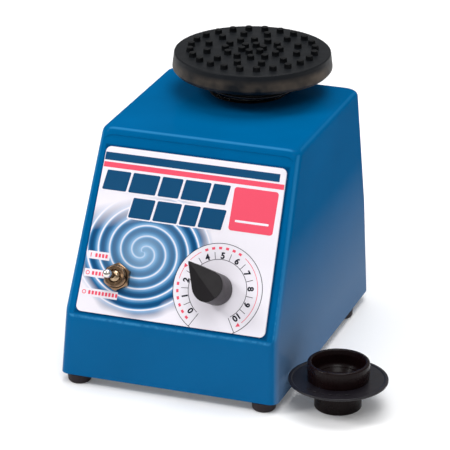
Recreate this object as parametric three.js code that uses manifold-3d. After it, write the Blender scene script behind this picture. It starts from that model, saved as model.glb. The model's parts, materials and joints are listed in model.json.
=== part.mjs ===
// Bench vortex mixer with a rubber platform head, and its spare cup head standing beside it.
// Millimetres, +Z up. The origin is the middle of the footprint, on the bench; -Y is the front.
import * as THREE from 'three';
import { mergeVertices } from 'three/addons/utils/BufferGeometryUtils.js';
import Module from 'manifold-3d';

const wasm = await Module();
wasm.setup();

// ---------------------------------------------------------------- driving dimensions
const GAP = 0.3;                       // clearance between pieces that touch

const WIDTH = 122;                     // housing, side to side at its lower rim
const DEPTH = 165;                     // housing, front to back at its lower rim
const RIM_Z = 5.5;                     // lower rim above the bench
const TOP_Z = 129;                     // flat top of the housing
const WALL = 2.6;
const SIDE_DRAFT = 0.042;              // each side leans in by this much per mm of height
const CORNER_R = 5;                    // upright corners
const EDGE_R = 4;                      // rounded edges of the top
const KINK_Z = 40.4;                   // the front is upright below this and slopes above it
const KINK_Y = -78.7;
const CREASE_Y = -31.4;                // where the slope would meet the flat top
const BACK_KINK_Z = 60;
const BACK_KINK_Y = 81.8;
const BACK_TOP_Y = 73.2;
const BEND_BLEND = 2;                  // half height of the soft bend at each kink

const AXIS_Y = 47.5;                   // motor shaft, behind the middle of the housing
const ORBIT_R = 2;                     // crank offset, so the head orbits on a 4 mm circle
const PRESS = 2.5;                     // how far a vessel pushes the head down

const PLATFORM_TOP_Z = 152.5;          // upper face of the rubber pad, without its nubs
const PAD_THICK = 11.3;
const PAD_R = 44;
const PAD_TOP_R = 42.9;
const NUB_R = 2.1;
const NUB_TALL = 2.6;
const FLANGE_Z = 132.6;                // underside of the head's splash flange
const FLANGE_R = 24.8;
const NECK_R = 18;
const STEM_R = 12.5;
const STEM_LONG = 17;
const SOCKET_WALL = 2.4;
const TOP_HOLE_R = 20.2;

const FOOT_FRONT_X = 52;
const FOOT_FRONT_Y = -75.8;
const FOOT_BACK_X = 54.2;
const FOOT_BACK_Y = 52.5;
const FOOT_R = 6.2;

const TOGGLE_AT = new THREE.Vector2(-32, 21.5);    // across, and up the slope from the kink
const SPEED_AT = new THREE.Vector2(23.4, 22.4);
const KNOB_TURN = 45;                  // degrees anticlockwise from straight up, at rest
const KNOB_R = 8.4;
const KNOB_TIP = 16.8;
const KNOB_TALL = 21.8;

const SPARE_AT = new THREE.Vector2(87.6, -60);

const ROUND = 28;                      // facets round a large turned piece
const SMALL = 12;                      // facets round a small one

// ---------------------------------------------------------------- colours
const finishes = {
  blue: { color: 0x00609a, roughness: 0.38, metalness: 0 },
  rubber: { color: 0x33383b, roughness: 0.75, metalness: 0 },
  black: { color: 0x161416, roughness: 0.5, metalness: 0 },
  label: { color: 0xf0eef0, roughness: 0.45, metalness: 0 },
  nickel: { color: 0xb9a07c, roughness: 0.25, metalness: 1 },
  steel: { color: 0xb4b7ba, roughness: 0.35, metalness: 1 },
  laminate: { color: 0x6c7075, roughness: 0.55, metalness: 1 },
  aluminium: { color: 0xc9ccd0, roughness: 0.4, metalness: 1 },
  copper: { color: 0xa5542a, roughness: 0.35, metalness: 1 },
  board: { color: 0x1f5c38, roughness: 0.5, metalness: 0 },
  bronze: { color: 0xa9834a, roughness: 0.4, metalness: 1 },
};

// ---------------------------------------------------------------- shape helpers
const V2 = (x, y) => new THREE.Vector2(x, y);
const deg = THREE.MathUtils.degToRad;

function signedVolume(geometry) {
  const p = geometry.getAttribute('position');
  const order = geometry.getIndex();
  const [a, b, c] = [new THREE.Vector3(), new THREE.Vector3(), new THREE.Vector3()];
  let sum = 0;
  for (let i = 0; i < order.count; i += 3) {
    a.fromBufferAttribute(p, order.getX(i));
    b.fromBufferAttribute(p, order.getX(i + 1));
    c.fromBufferAttribute(p, order.getX(i + 2));
    sum += a.dot(b.cross(c)) / 6;
  }
  return sum;
}

// A manifold solid from a three.js geometry whose faces may point in or out.
function solid(source) {
  const bare = source.clone();
  bare.deleteAttribute('normal');
  bare.deleteAttribute('uv');
  const merged = mergeVertices(bare, 1e-4);
  const triVerts = new Uint32Array(merged.getIndex().array);
  if (signedVolume(merged) < 0) {
    for (let i = 0; i < triVerts.length; i += 3) {
      [triVerts[i], triVerts[i + 1]] = [triVerts[i + 1], triVerts[i]];
    }
  }
  const vertProperties = new Float32Array(merged.getAttribute('position').array);
  return new wasm.Manifold(new wasm.Mesh({ numProp: 3, vertProperties, triVerts }));
}

function geometryOf(body) {
  const { vertProperties, triVerts } = body.getMesh();
  const geometry = new THREE.BufferGeometry();
  geometry.setAttribute('position', new THREE.BufferAttribute(vertProperties, 3));
  geometry.setIndex(new THREE.BufferAttribute(triVerts, 1));
  geometry.computeVertexNormals();
  return geometry;
}

const join = (first, ...others) => others.reduce((sum, next) => sum.add(next), first);
const cut = (first, ...tools) => tools.reduce((rest, tool) => rest.subtract(tool), first);

// A solid of revolution about +Z. The profile is [radius, z] pairs; a ring closes on itself.
function turned(profile, facets = ROUND) {
  const points = profile.map(([r, z]) => V2(r, z));
  const onAxis = profile[0][0] === 0 && profile.at(-1)[0] === 0;
  if (!onAxis) points.push(points[0].clone());
  return solid(new THREE.LatheGeometry(points, facets).rotateX(Math.PI / 2));
}

const rod = (r, z0, z1, facets = SMALL) => turned([[0, z0], [r, z0], [r, z1], [0, z1]], facets);

const ring = (inner, outer, z0, z1, facets = ROUND) =>
  turned([[inner, z0], [outer, z0], [outer, z1], [inner, z1]], facets);

function box(x0, x1, y0, y1, z0, z1) {
  const block = new THREE.BoxGeometry(x1 - x0, y1 - y0, z1 - z0);
  return solid(block.translate((x0 + x1) / 2, (y0 + y1) / 2, (z0 + z1) / 2));
}

// An outline in X and Y, raised from z0 to z1.
function raised(shape, z0, z1, curveSegments = 6) {
  const depth = z1 - z0;
  const settings = { depth, bevelEnabled: false, curveSegments };
  return solid(new THREE.ExtrudeGeometry(shape, settings).translate(0, 0, z0));
}

// A rectangle or trapezium about its middle, with rounded corners.
function roundedShape(halfBottom, halfTop, y0, y1, r) {
  const shape = new THREE.Shape();
  shape.moveTo(-halfBottom + r, y0);
  shape.lineTo(halfBottom - r, y0);
  shape.quadraticCurveTo(halfBottom, y0, halfBottom, y0 + r);
  shape.lineTo(halfTop, y1 - r);
  shape.quadraticCurveTo(halfTop, y1, halfTop - r, y1);
  shape.lineTo(-halfTop + r, y1);
  shape.quadraticCurveTo(-halfTop, y1, -halfTop, y1 - r);
  shape.lineTo(-halfBottom, y0 + r);
  shape.quadraticCurveTo(-halfBottom, y0, -halfBottom + r, y0);
  return shape;
}

// The corners of a regular polygon, counted round from +X.
function regular(sides, r) {
  return Array.from({ length: sides }, (_, i) => {
    const a = 2 * Math.PI * i / sides;
    return V2(r * Math.cos(a), r * Math.sin(a));
  });
}

const hexagon = (r) => new THREE.Shape(regular(6, r));

const moved = (body, x, y, z = 0) => body.translate([x, y, z]);
const onShaft = (body) => moved(body, 0, AXIS_Y);

// ---------------------------------------------------------------- assembly
const group = new THREE.Group();

// The sloping panel's own frame: origin on the kink, +Y up the slope, +Z straight out of it.
const SLOPE = Math.atan2(CREASE_Y - KINK_Y, TOP_Z - KINK_Z);
const panel = new THREE.Group();
panel.position.set(0, KINK_Y, KINK_Z);
panel.rotation.x = Math.PI / 2 - SLOPE;
panel.updateMatrix();
group.add(panel);

function place(name, finish, body, parent = group) {
  const mesh = new THREE.Mesh(geometryOf(body), new THREE.MeshStandardMaterial(finishes[finish]));
  mesh.name = name;
  parent.add(mesh);
  return mesh;
}

// A body given in the panel's frame, carried into the assembly's frame.
const fromPanel = (body) => body.transform(panel.matrix.elements);

// ---------------------------------------------------------------- housing
// How far a wall stands out at height z, from its bend and its lean above and below the bend.
function bentWall(z, bendZ, bendAt, leanBelow, leanAbove) {
  const d = z - bendZ;
  if (d <= -BEND_BLEND) return bendAt + leanBelow * d;
  if (d >= BEND_BLEND) return bendAt + leanAbove * d;
  return bendAt + leanBelow * d + (leanAbove - leanBelow) * (d + BEND_BLEND) ** 2 / (4 * BEND_BLEND);
}

// The same wall, moved in by the wall's thickness and rounded over into the flat top.
function roundedWall(z, wall, lean, inset) {
  const stretch = Math.hypot(1, lean);
  const radius = Math.max(EDGE_R - inset, 0.8);
  const centreZ = TOP_Z - inset - radius;
  const tangentZ = centreZ - radius * lean / stretch;
  if (z <= tangentZ) return wall(z) - inset * stretch;
  const straight = wall(tangentZ) + lean * (centreZ - tangentZ) - inset * stretch;
  const reach = Math.sqrt(Math.max(radius ** 2 - (z - centreZ) ** 2, 0));
  return straight - radius * stretch + reach;
}

const FRONT_LEAN_LOW = (-DEPTH / 2 - KINK_Y) / (KINK_Z - RIM_Z);
const FRONT_LEAN = (KINK_Y - CREASE_Y) / (TOP_Z - KINK_Z);
const BACK_LEAN_LOW = (BACK_KINK_Y - DEPTH / 2) / (BACK_KINK_Z - RIM_Z);
const BACK_LEAN = (BACK_TOP_Y - BACK_KINK_Y) / (TOP_Z - BACK_KINK_Z);

const sideWall = (z) => WIDTH / 2 - SIDE_DRAFT * (z - RIM_Z);
const frontWall = (z) => bentWall(z, KINK_Z, -KINK_Y, FRONT_LEAN_LOW, FRONT_LEAN);
const backWall = (z) => bentWall(z, BACK_KINK_Z, BACK_KINK_Y, BACK_LEAN_LOW, BACK_LEAN);

// One level cut through the housing, a rectangle with round corners.
function housingSection(z, inset) {
  const x = roundedWall(z, sideWall, -SIDE_DRAFT, inset);
  const front = -roundedWall(z, frontWall, FRONT_LEAN, inset);
  const back = roundedWall(z, backWall, BACK_LEAN, inset);
  const r = Math.max(CORNER_R - inset, 1);
  const corners = [[x - r, back - r, 0], [r - x, back - r, 90],
    [r - x, front + r, 180], [x - r, front + r, 270]];
  const steps = 4;
  return corners.flatMap(([cx, cy, start]) => Array.from({ length: steps + 1 }, (_, i) => {
    const a = deg(start + 90 * i / steps);
    return V2(cx + r * Math.cos(a), cy + r * Math.sin(a));
  }));
}

// A closed skin over level sections, from zLow up to the flat top.
function housingSkin(inset, zLow, arcSteps = [0, 45, 90]) {
  const radius = Math.max(EDGE_R - inset, 0.8);
  const topZ = TOP_Z - inset;
  const bends = [KINK_Z, BACK_KINK_Z].flatMap((z) => [z - BEND_BLEND, z, z + BEND_BLEND]);
  const arc = arcSteps.map((a) => topZ - radius + radius * Math.sin(deg(a)));
  const levels = [zLow, ...bends, ...arc];
  const rings = levels.map((z) => housingSection(z, inset));
  const n = rings[0].length;
  const positions = rings.flatMap((points, k) => points.flatMap((p) => [p.x, p.y, levels[k]]));
  const order = [];
  for (let k = 0; k + 1 < rings.length; k++) {
    for (let i = 0; i < n; i++) {
      const [a, b] = [k * n + i, k * n + (i + 1) % n];
      order.push(a, b, a + n, b, b + n, a + n);
    }
  }
  const last = (rings.length - 1) * n;
  for (let i = 1; i + 1 < n; i++) {
    order.push(0, i + 1, i);
    order.push(last, last + i, last + i + 1);
  }
  const geometry = new THREE.BufferGeometry();
  geometry.setAttribute('position', new THREE.Float32BufferAttribute(positions, 3));
  geometry.setIndex(order);
  return solid(geometry);
}

const POST_X = 38;
const POST_R = 4.2;
const POST_END_Z = 101;
const [POST_FRONT_Y, POST_BACK_Y] = [AXIS_Y - 22, AXIS_Y + 17];
const POSTS = [[-POST_X, POST_FRONT_Y], [POST_X, POST_FRONT_Y],
  [-POST_X, POST_BACK_Y], [POST_X, POST_BACK_Y]];
const FEET = [[-FOOT_FRONT_X, FOOT_FRONT_Y], [FOOT_FRONT_X, FOOT_FRONT_Y],
  [-FOOT_BACK_X, FOOT_BACK_Y], [FOOT_BACK_X, FOOT_BACK_Y]];
const PLATE_Z = 5.8;
const PLATE_THICK = 2;
const PLATE_TOP = PLATE_Z + PLATE_THICK;
const INLET_X = -31;
const INLET_Z = 28;
const INLET_HALF_W = 13.6;
const INLET_HALF_H = 9.8;
const BOSS_R = 5.2;                    // bosses that the feet's screws hold in
const BOSS_TOP = 30;
const WEB_HALF = 1.2;
const PILOT_R = 1.9;                   // holes that screws bite into
const BUSHING_HOLE_R = 6.2;
const SPINDLE_HOLE_R = 5;

function makeHousing() {
  const shell = cut(housingSkin(0, RIM_Z, [0, 20, 38, 56, 73, 90]), housingSkin(WALL, RIM_Z - 1));
  const posts = POSTS.map(([x, y]) => moved(rod(POST_R, POST_END_Z, TOP_Z - WALL / 2), x, y));
  // Each foot's boss has a web out to the side wall, and both are trimmed to the housing's outline.
  const bosses = FEET.map(([x, y]) => {
    const outer = Math.sign(x) * WIDTH / 2;
    const [from, to] = [Math.min(x, outer), Math.max(x, outer)];
    const web = box(from, to, y - WEB_HALF, y + WEB_HALF, PLATE_TOP + GAP, BOSS_TOP);
    const boss = moved(rod(BOSS_R, PLATE_TOP + GAP, BOSS_TOP), x, y);
    return join(boss, web).intersect(housingSkin(WALL / 2, RIM_Z));
  });
  const bossHoles = FEET.map(([x, y]) => moved(rod(PILOT_R, RIM_Z, BOSS_TOP - 6), x, y));
  const postHoles = POSTS.map(([x, y]) => moved(rod(PILOT_R, POST_END_Z - 1, POST_END_Z + 16), x, y));
  const shaftHole = onShaft(rod(TOP_HOLE_R, TOP_Z - 2 * WALL, TOP_Z + 1, ROUND));
  const toggleHole = fromPanel(moved(rod(BUSHING_HOLE_R, -2 * WALL, 2), TOGGLE_AT.x, TOGGLE_AT.y));
  const speedHole = fromPanel(moved(rod(SPINDLE_HOLE_R, -2 * WALL, 2), SPEED_AT.x, SPEED_AT.y));
  const [holeW, holeH] = [INLET_HALF_W + GAP, INLET_HALF_H + GAP];
  const inletBlock = box(-holeW, holeW, DEPTH / 2 - 8, DEPTH / 2 + 2, -holeH, holeH);
  const inletHole = moved(inletBlock, INLET_X, 0, INLET_Z);
  const cuts = [...bossHoles, ...postHoles, shaftHole, toggleHole, speedHole, inletHole];
  return cut(join(shell, ...posts, ...bosses), ...cuts);
}
place('housing', 'blue', makeHousing());

// ---------------------------------------------------------------- base plate, feet and screws
const BOARD_X = -14;
const BOARD_Y = -30;
const BOARD_HALF_X = 32;
const BOARD_HALF_Y = 22;
const BOARD_Z = 14;
const BOARD_HOLES = [[-28, -18], [28, -18], [-28, 18], [28, 18]];

function makeBasePlate() {
  const outline = housingSection(RIM_Z, WALL + GAP);
  const ventRows = [-2, 3, 8, 13, 18, 65, 70];
  const vents = ventRows.map((y) => box(-22, 22, y, y + 3, PLATE_Z - 1, PLATE_TOP + 1));
  const screwHoles = FEET.map(([x, y]) => moved(rod(2, PLATE_Z - 1, PLATE_TOP + 1), x, y));
  const pillar = rod(2.6, PLATE_TOP - 0.5, BOARD_Z - GAP, 8);
  const pillars = BOARD_HOLES.map(([x, y]) => moved(pillar, BOARD_X + x, BOARD_Y + y));
  const plate = raised(new THREE.Shape(outline), PLATE_Z, PLATE_TOP);
  return cut(join(plate, ...pillars), ...vents, ...screwHoles);
}
place('base_plate', 'steel', makeBasePlate());

const CORNER_NAMES = ['front_left', 'front_right', 'rear_left', 'rear_right'];
const FOOT_TOP = RIM_Z - GAP;
const SCREW_HEAD_Z = 1.4;
FEET.forEach(([x, y], i) => {
  const foot = turned([[2.1, 3.4], [3.6, 3.4], [3.6, 0], [FOOT_R - 0.7, 0], [FOOT_R, 0.8],
    [FOOT_R + 0.5, FOOT_TOP], [2.1, FOOT_TOP]], 16);
  place(`foot_${CORNER_NAMES[i]}`, 'rubber', moved(foot, x, y));
  const screw = turned([[0, SCREW_HEAD_Z], [3, SCREW_HEAD_Z], [3.2, 3.1], [1.6, 3.1], [1.6, 20], [0, 20]], 8);
  place(`base_screw_${CORNER_NAMES[i]}`, 'steel', moved(screw, x, y));
});

// ---------------------------------------------------------------- sloping control panel
const LABEL_THICK = 0.5;
const LABEL_FACE = GAP + LABEL_THICK;

function makeLabel() {
  const plate = raised(roundedShape(52.8, 50.4, 1, 90, 3), GAP, LABEL_FACE, 4);
  const toggleHole = moved(rod(BUSHING_HOLE_R, -1, 2), TOGGLE_AT.x, TOGGLE_AT.y);
  const speedHole = moved(rod(SPINDLE_HOLE_R, -1, 2), SPEED_AT.x, SPEED_AT.y);
  return cut(plate, toggleHole, speedHole);
}
place('label_plate', 'label', makeLabel(), panel);

const PANEL_BACK = -WALL - GAP;
const BUSHING_TALL = 7.5;
const PIVOT_Z = 5;                     // the lever's ball fills the bushing's mouth
const BALL_R = 3.8;

const toggle = new THREE.Group();
toggle.position.set(TOGGLE_AT.x, TOGGLE_AT.y, 0);
panel.add(toggle);
place('toggle_body', 'black', box(-6.6, 6.6, -10, 10, PANEL_BACK - 13, PANEL_BACK - GAP), toggle);
place('toggle_bushing', 'nickel', turned([[4.2, PANEL_BACK], [8, PANEL_BACK], [8, -WALL - 0.05],
  [5.8, -WALL - 0.05], [5.8, BUSHING_TALL - 0.5], [5.4, BUSHING_TALL], [4.4, BUSHING_TALL]], 16), toggle);
const nutBlank = raised(hexagon(7.7), LABEL_FACE + GAP, LABEL_FACE + GAP + 3.2).rotate([0, 0, 30]);
place('toggle_nut', 'nickel', cut(nutBlank, rod(BUSHING_HOLE_R, -1, 9, 16)), toggle);
place('toggle_lever', 'steel', turned([[0, -2], [1.2, -2], [1.2, PIVOT_Z - BALL_R], [2.6, PIVOT_Z - 2.8],
  [3.5, PIVOT_Z - 1.5], [BALL_R, PIVOT_Z], [3.5, PIVOT_Z + 1.5], [2.6, PIVOT_Z + 2.8], [1.7, PIVOT_Z + 3.6],
  [2.3, 18], [2.2, 19.6], [1.4, 20.5], [0, 20.8]], 12), toggle);

const speed = new THREE.Group();
speed.position.set(SPEED_AT.x, SPEED_AT.y, 0);
panel.add(speed);
const [SPEED_LOW, SPEED_HIGH] = [PANEL_BACK - 11, PANEL_BACK - GAP];
place('speed_control_body', 'laminate', turned([[3.4, SPEED_LOW], [12, SPEED_LOW], [12, SPEED_HIGH],
  [4.7, SPEED_HIGH], [4.7, 5], [3.4, 5]], 20), speed);
const speedNut = raised(hexagon(6.6), LABEL_FACE + GAP, LABEL_FACE + GAP + 2.2);
place('speed_control_nut', 'nickel', cut(speedNut, rod(SPINDLE_HOLE_R, -1, 9)), speed);
place('speed_control_shaft', 'steel', rod(3, PANEL_BACK - 8, 13.6, 12), speed);

// A teardrop seen from the front, with a gabled top whose ridge points at the dial.
function makeKnob() {
  const tangent = Math.acos(KNOB_R / KNOB_TIP);
  const outline = new THREE.Shape();
  outline.moveTo(0, KNOB_TIP - 0.8);
  outline.absarc(0, 0, KNOB_R, Math.PI / 2 + tangent, Math.PI / 2 - tangent + 2 * Math.PI, false);
  outline.closePath();
  const body = raised(outline, 1.4, KNOB_TALL, 20);
  const eaves = KNOB_TALL - 8;
  const gable = new THREE.Shape([V2(-20, 0), V2(20, 0), V2(20, eaves), V2(0, KNOB_TALL), V2(-20, eaves)]);
  const roof = solid(new THREE.ExtrudeGeometry(gable, { depth: 60, bevelEnabled: false })
    .rotateX(Math.PI / 2).translate(0, 30, 0));
  const recess = rod(7, 0, 6, 16);
  const bore = rod(3.3, 5, 14.2, 12);
  return cut(body.intersect(roof), recess, bore);
}
const knob = place('speed_knob', 'black', makeKnob(), speed);
knob.rotation.z = deg(KNOB_TURN);

// ---------------------------------------------------------------- power inlet, in the back wall
const INLET_FACE_Y = DEPTH / 2 + 1.2;
const INLET_DEEP = 20;
const RECESS_DEEP = 15;
const PIN_Z = INLET_Z + 1.6;

const PINS = { line: -7, earth: 0, neutral: 7 };
const PIN_HALF_W = 1;
const PIN_HALF_H = 2;

function makeInlet() {
  const back = INLET_FACE_Y - INLET_DEEP;
  const face = INLET_FACE_Y + 1;
  const bezel = box(-17, 17, DEPTH / 2 + GAP, face, -12, 12);
  const body = box(-INLET_HALF_W, INLET_HALF_W, back, DEPTH / 2 + 1, -INLET_HALF_H, INLET_HALF_H);
  const recess = box(-12, 12, face - RECESS_DEEP, face + 1, -8, 8);
  const [holeW, holeH] = [PIN_HALF_W + GAP, PIN_HALF_H + GAP];
  const pinHole = box(-holeW, holeW, back - 1, INLET_FACE_Y, -holeH, holeH);
  const pinHoles = Object.values(PINS).map((x) => moved(pinHole, x, 0, PIN_Z - INLET_Z));
  return moved(cut(join(bezel, body), recess, ...pinHoles), INLET_X, 0, INLET_Z);
}
place('inlet_body', 'black', makeInlet());
Object.entries(PINS).forEach(([name, x]) => {
  const [back, tip] = [INLET_FACE_Y - INLET_DEEP - 5, INLET_FACE_Y - 2];
  const pin = box(-PIN_HALF_W, PIN_HALF_W, back, tip, -PIN_HALF_H, PIN_HALF_H);
  place(`inlet_pin_${name}`, 'steel', moved(pin, INLET_X + x, 0, PIN_Z));
});

// ---------------------------------------------------------------- speed circuit
const BOARD_THICK = 1.6;
const onBoard = (body) => moved(body, BOARD_X, BOARD_Y, BOARD_Z);

function makeBoard() {
  const sheet = box(-BOARD_HALF_X, BOARD_HALF_X, -BOARD_HALF_Y, BOARD_HALF_Y, 0, BOARD_THICK);
  const holes = BOARD_HOLES.map(([x, y]) => moved(rod(1.6, -1, BOARD_THICK + 1, 6), x, y));
  return onBoard(cut(sheet, ...holes));
}

function makeHeatSink() {
  const foot = box(-22, -8, -9, 9, 0, 2.5);
  const fins = [-22, -16, -10].map((x) => box(x, x + 2, -9, 9, 0, 18));
  return onBoard(moved(join(foot, ...fins), 0, 0, BOARD_THICK + GAP));
}
place('circuit_board', 'board', makeBoard());
place('capacitor', 'black', onBoard(moved(box(4, 22, -6, 5, 0, 15), 0, 0, BOARD_THICK + GAP)));
place('heat_sink', 'aluminium', makeHeatSink());

// ---------------------------------------------------------------- motor, fixed pieces
const CORE_HALF = 27;
const CORE_Z = [52, 78];
const BORE_R = 17.2;
const SHAFT_R = 4;
const UPPER_Z = 90;                    // underside of the upper bracket
const LOWER_Z = 37;                    // underside of the lower bracket
const BOLTS = [[-21, -21], [21, 21]];

const boltHoles = (z0, z1) => BOLTS.map(([x, y]) => onShaft(moved(rod(2.4, z0, z1, 8), x, y)));

function makeStator() {
  const outline = roundedShape(CORE_HALF, CORE_HALF, -CORE_HALF, CORE_HALF, 6);
  const stack = onShaft(raised(outline, CORE_Z[0], CORE_Z[1], 4));
  return cut(stack, onShaft(rod(BORE_R, 50, 80, 24)), ...boltHoles(50, 80));
}
place('stator_core', 'laminate', makeStator());
const coil = (z0, z1) => onShaft(turned([[18.4, z0 + 1], [20, z0], [25, z0], [26.6, z0 + 2],
  [26.6, z1 - 2], [25, z1], [20, z1], [18.4, z1 - 1]], 20));
place('stator_coil_upper', 'copper', coil(CORE_Z[1] + GAP, UPPER_Z - 2));
place('stator_coil_lower', 'copper', coil(LOWER_Z + 6, CORE_Z[0] - GAP));

// The upper bracket carries the motor and reaches out to the four hanging posts.
const BRACKET_THICK = 4;
function makeUpperBracket() {
  const arms = POSTS.map(([x, y]) => {
    const dy = y - AXIS_Y;
    const long = Math.hypot(x, dy);
    const arm = box(0, long, -4.5, 4.5, UPPER_Z, UPPER_Z + BRACKET_THICK);
    return onShaft(arm.rotate([0, 0, THREE.MathUtils.radToDeg(Math.atan2(dy, x))]));
  });
  const pads = POSTS.map(([x, y]) => moved(rod(8.6, UPPER_Z, UPPER_Z + BRACKET_THICK, 14), x, y));
  const padHoles = POSTS.map(([x, y]) => moved(rod(4.6, UPPER_Z - 1, UPPER_Z + 6), x, y));
  const disc = onShaft(rod(26, UPPER_Z, UPPER_Z + BRACKET_THICK, ROUND));
  const ears = BOLTS.map(([x, y]) => onShaft(moved(rod(6, UPPER_Z, UPPER_Z + BRACKET_THICK), x, y)));
  const seat = onShaft(rod(9.4, UPPER_Z - 1, UPPER_Z + 6, 20));
  const whole = join(disc, ...arms, ...pads, ...ears);
  return cut(whole, seat, ...padHoles, ...boltHoles(UPPER_Z - 1, UPPER_Z + 6));
}
place('upper_bracket', 'aluminium', makeUpperBracket());

function makeLowerBracket() {
  const bar = onShaft(box(-8, 8, -30, 30, LOWER_Z, LOWER_Z + BRACKET_THICK).rotate([0, 0, -45]));
  const hub = onShaft(rod(13, LOWER_Z, LOWER_Z + BRACKET_THICK, 20));
  const seat = onShaft(rod(7.9, LOWER_Z - 1, LOWER_Z + 6, 20));
  return cut(join(bar, hub), seat, ...boltHoles(LOWER_Z - 1, LOWER_Z + 6));
}
place('lower_bracket', 'aluminium', makeLowerBracket());
place('upper_bearing', 'steel', onShaft(ring(SHAFT_R + GAP, 9, UPPER_Z - 1.5, UPPER_Z + 3.6, 20)));
place('lower_bearing', 'bronze', onShaft(ring(SHAFT_R + GAP, 7.5, LOWER_Z - 0.8, LOWER_Z + 4.6, 20)));

BOLTS.forEach(([x, y], i) => {
  const bolt = turned([[0, LOWER_Z - 4], [3.6, LOWER_Z - 4], [3.6, LOWER_Z - GAP], [1.9, LOWER_Z - GAP],
    [1.9, UPPER_Z + 5], [0, UPPER_Z + 5]], 8);
  place(`motor_bolt_${i + 1}`, 'steel', onShaft(moved(bolt, x, y)));
});

// Rubber isolators sit in the bracket's pads; a screw through each goes up into its post.
POSTS.forEach(([x, y], i) => {
  const [low, high] = [UPPER_Z - 3, POST_END_Z - GAP];
  const isolator = turned([[2.2, low], [7, low], [7, UPPER_Z - GAP], [4.2, UPPER_Z - GAP],
    [4.2, UPPER_Z + BRACKET_THICK + GAP], [7, UPPER_Z + BRACKET_THICK + GAP], [7, high], [2.2, high]], SMALL);
  place(`isolator_${CORNER_NAMES[i]}`, 'rubber', moved(isolator, x, y));
  const screw = turned([[0, low - 3], [3.6, low - 3], [3.6, low - GAP], [1.6, low - GAP],
    [1.6, POST_END_Z + 12], [0, POST_END_Z + 12]], 8);
  place(`mount_screw_${CORNER_NAMES[i]}`, 'steel', moved(screw, x, y));
});

// ---------------------------------------------------------------- motor, turning pieces
const SHAFT_LOW = 26;
const CRANK_Z = 97.6;
const PIN_LOW = 104;
const PIN_TOP = 110.5;

place('rotor_shaft', 'steel', onShaft(rod(SHAFT_R, SHAFT_LOW, 101, 16)));
const [coreLow, coreHigh] = CORE_Z;
place('rotor_core', 'laminate', onShaft(turned([[SHAFT_R + GAP, coreLow], [12, coreLow - 2], [16.4, coreLow],
  [16.4, coreHigh], [12, coreHigh + 2], [SHAFT_R + GAP, coreHigh]], 20)));

function makeFan() {
  const count = 7;
  const blade = box(7, 20, -0.9, 0.9, 29, 33.4);
  const blades = Array.from({ length: count }, (_, i) => blade.rotate([0, 0, i * 360 / count]));
  const hub = ring(SHAFT_R + GAP, 8, 28, 34, 16);
  const disc = ring(7.5, 19, 28, 29.2, 20);
  return onShaft(join(hub, disc, ...blades));
}
place('cooling_fan', 'black', makeFan());

// The crank carries the pin that the head turns on, with a heavy half disc opposite the pin.
function makeCrank() {
  const boss = rod(9, CRANK_Z, PIN_LOW, 20);
  const leftSide = box(-20, -1, -20, 20, CRANK_Z - 1, CRANK_Z + 6);
  const half = rod(19, CRANK_Z, CRANK_Z + 4.5, ROUND).intersect(leftSide);
  const pin = moved(rod(3.9, PIN_LOW - 1, PIN_TOP, 16), ORBIT_R, 0);
  const bore = rod(SHAFT_R + GAP, CRANK_Z - 1, 101 + GAP, 16);
  return onShaft(cut(join(boss, half, pin), bore));
}
place('crank', 'steel', makeCrank());

const onPin = (body) => moved(body, ORBIT_R, AXIS_Y);
place('crank_bearing_inner', 'steel', onPin(ring(4.2, 5.9, PIN_LOW + GAP, PIN_TOP, 20)));
place('crank_bearing_outer', 'steel', onPin(ring(6.3, 8.6, PIN_LOW + GAP, PIN_TOP, 20)));

// ---------------------------------------------------------------- head: socket and platform
const SOCKET_R = STEM_R + GAP + SOCKET_WALL;
const STEM_END_Z = FLANGE_Z - STEM_LONG;
const SOCKET_FLOOR = STEM_END_Z - GAP;
const SOCKET_RIM = FLANGE_Z - 2.8;
place('head_socket', 'aluminium', onPin(turned([[0, PIN_TOP + 1], [8.9, PIN_TOP + 1], [8.9, PIN_LOW + GAP],
  [11.5, PIN_LOW + GAP], [SOCKET_R, SOCKET_FLOOR - 1], [SOCKET_R, SOCKET_RIM], [STEM_R + GAP, SOCKET_RIM],
  [STEM_R + GAP, SOCKET_FLOOR], [0, SOCKET_FLOOR]])));

const PAD_Z = PLATFORM_TOP_Z - PAD_THICK;
const NUB_RINGS = [[6, 0.14, 30], [12, 0.35, 15], [12, 0.59, 0], [24, 0.8, 7.5]];

function makePad() {
  const disc = turned([[0, PAD_Z], [PAD_R - 2.5, PAD_Z], [PAD_R - 0.7, PAD_Z + 0.8], [PAD_R, PAD_Z + 2.4],
    [PAD_TOP_R, PLATFORM_TOP_Z - 0.5], [PAD_TOP_R - 0.6, PLATFORM_TOP_Z], [0, PLATFORM_TOP_Z]], 40);
  const nub = rod(NUB_R, PLATFORM_TOP_Z - 1, PLATFORM_TOP_Z + NUB_TALL, 5);
  const nubs = NUB_RINGS.flatMap(([count, at, start]) => Array.from({ length: count }, (_, i) => {
    const a = deg(start + 360 * i / count);
    return moved(nub, at * PAD_TOP_R * Math.cos(a), at * PAD_TOP_R * Math.sin(a));
  }));
  return onPin(join(disc, ...nubs));
}
place('platform_pad', 'rubber', makePad());

place('platform_hub', 'black', onPin(turned([[0, STEM_END_Z], [STEM_R - 0.8, STEM_END_Z],
  [STEM_R, STEM_END_Z + 0.8], [STEM_R, FLANGE_Z], [FLANGE_R, FLANGE_Z],
  [FLANGE_R, FLANGE_Z + 1.4], [NECK_R + 1.4, FLANGE_Z + 2.2],
  [NECK_R, FLANGE_Z + 4], [NECK_R + 1.5, PAD_Z - GAP], [0, PAD_Z - GAP]])));

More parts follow.
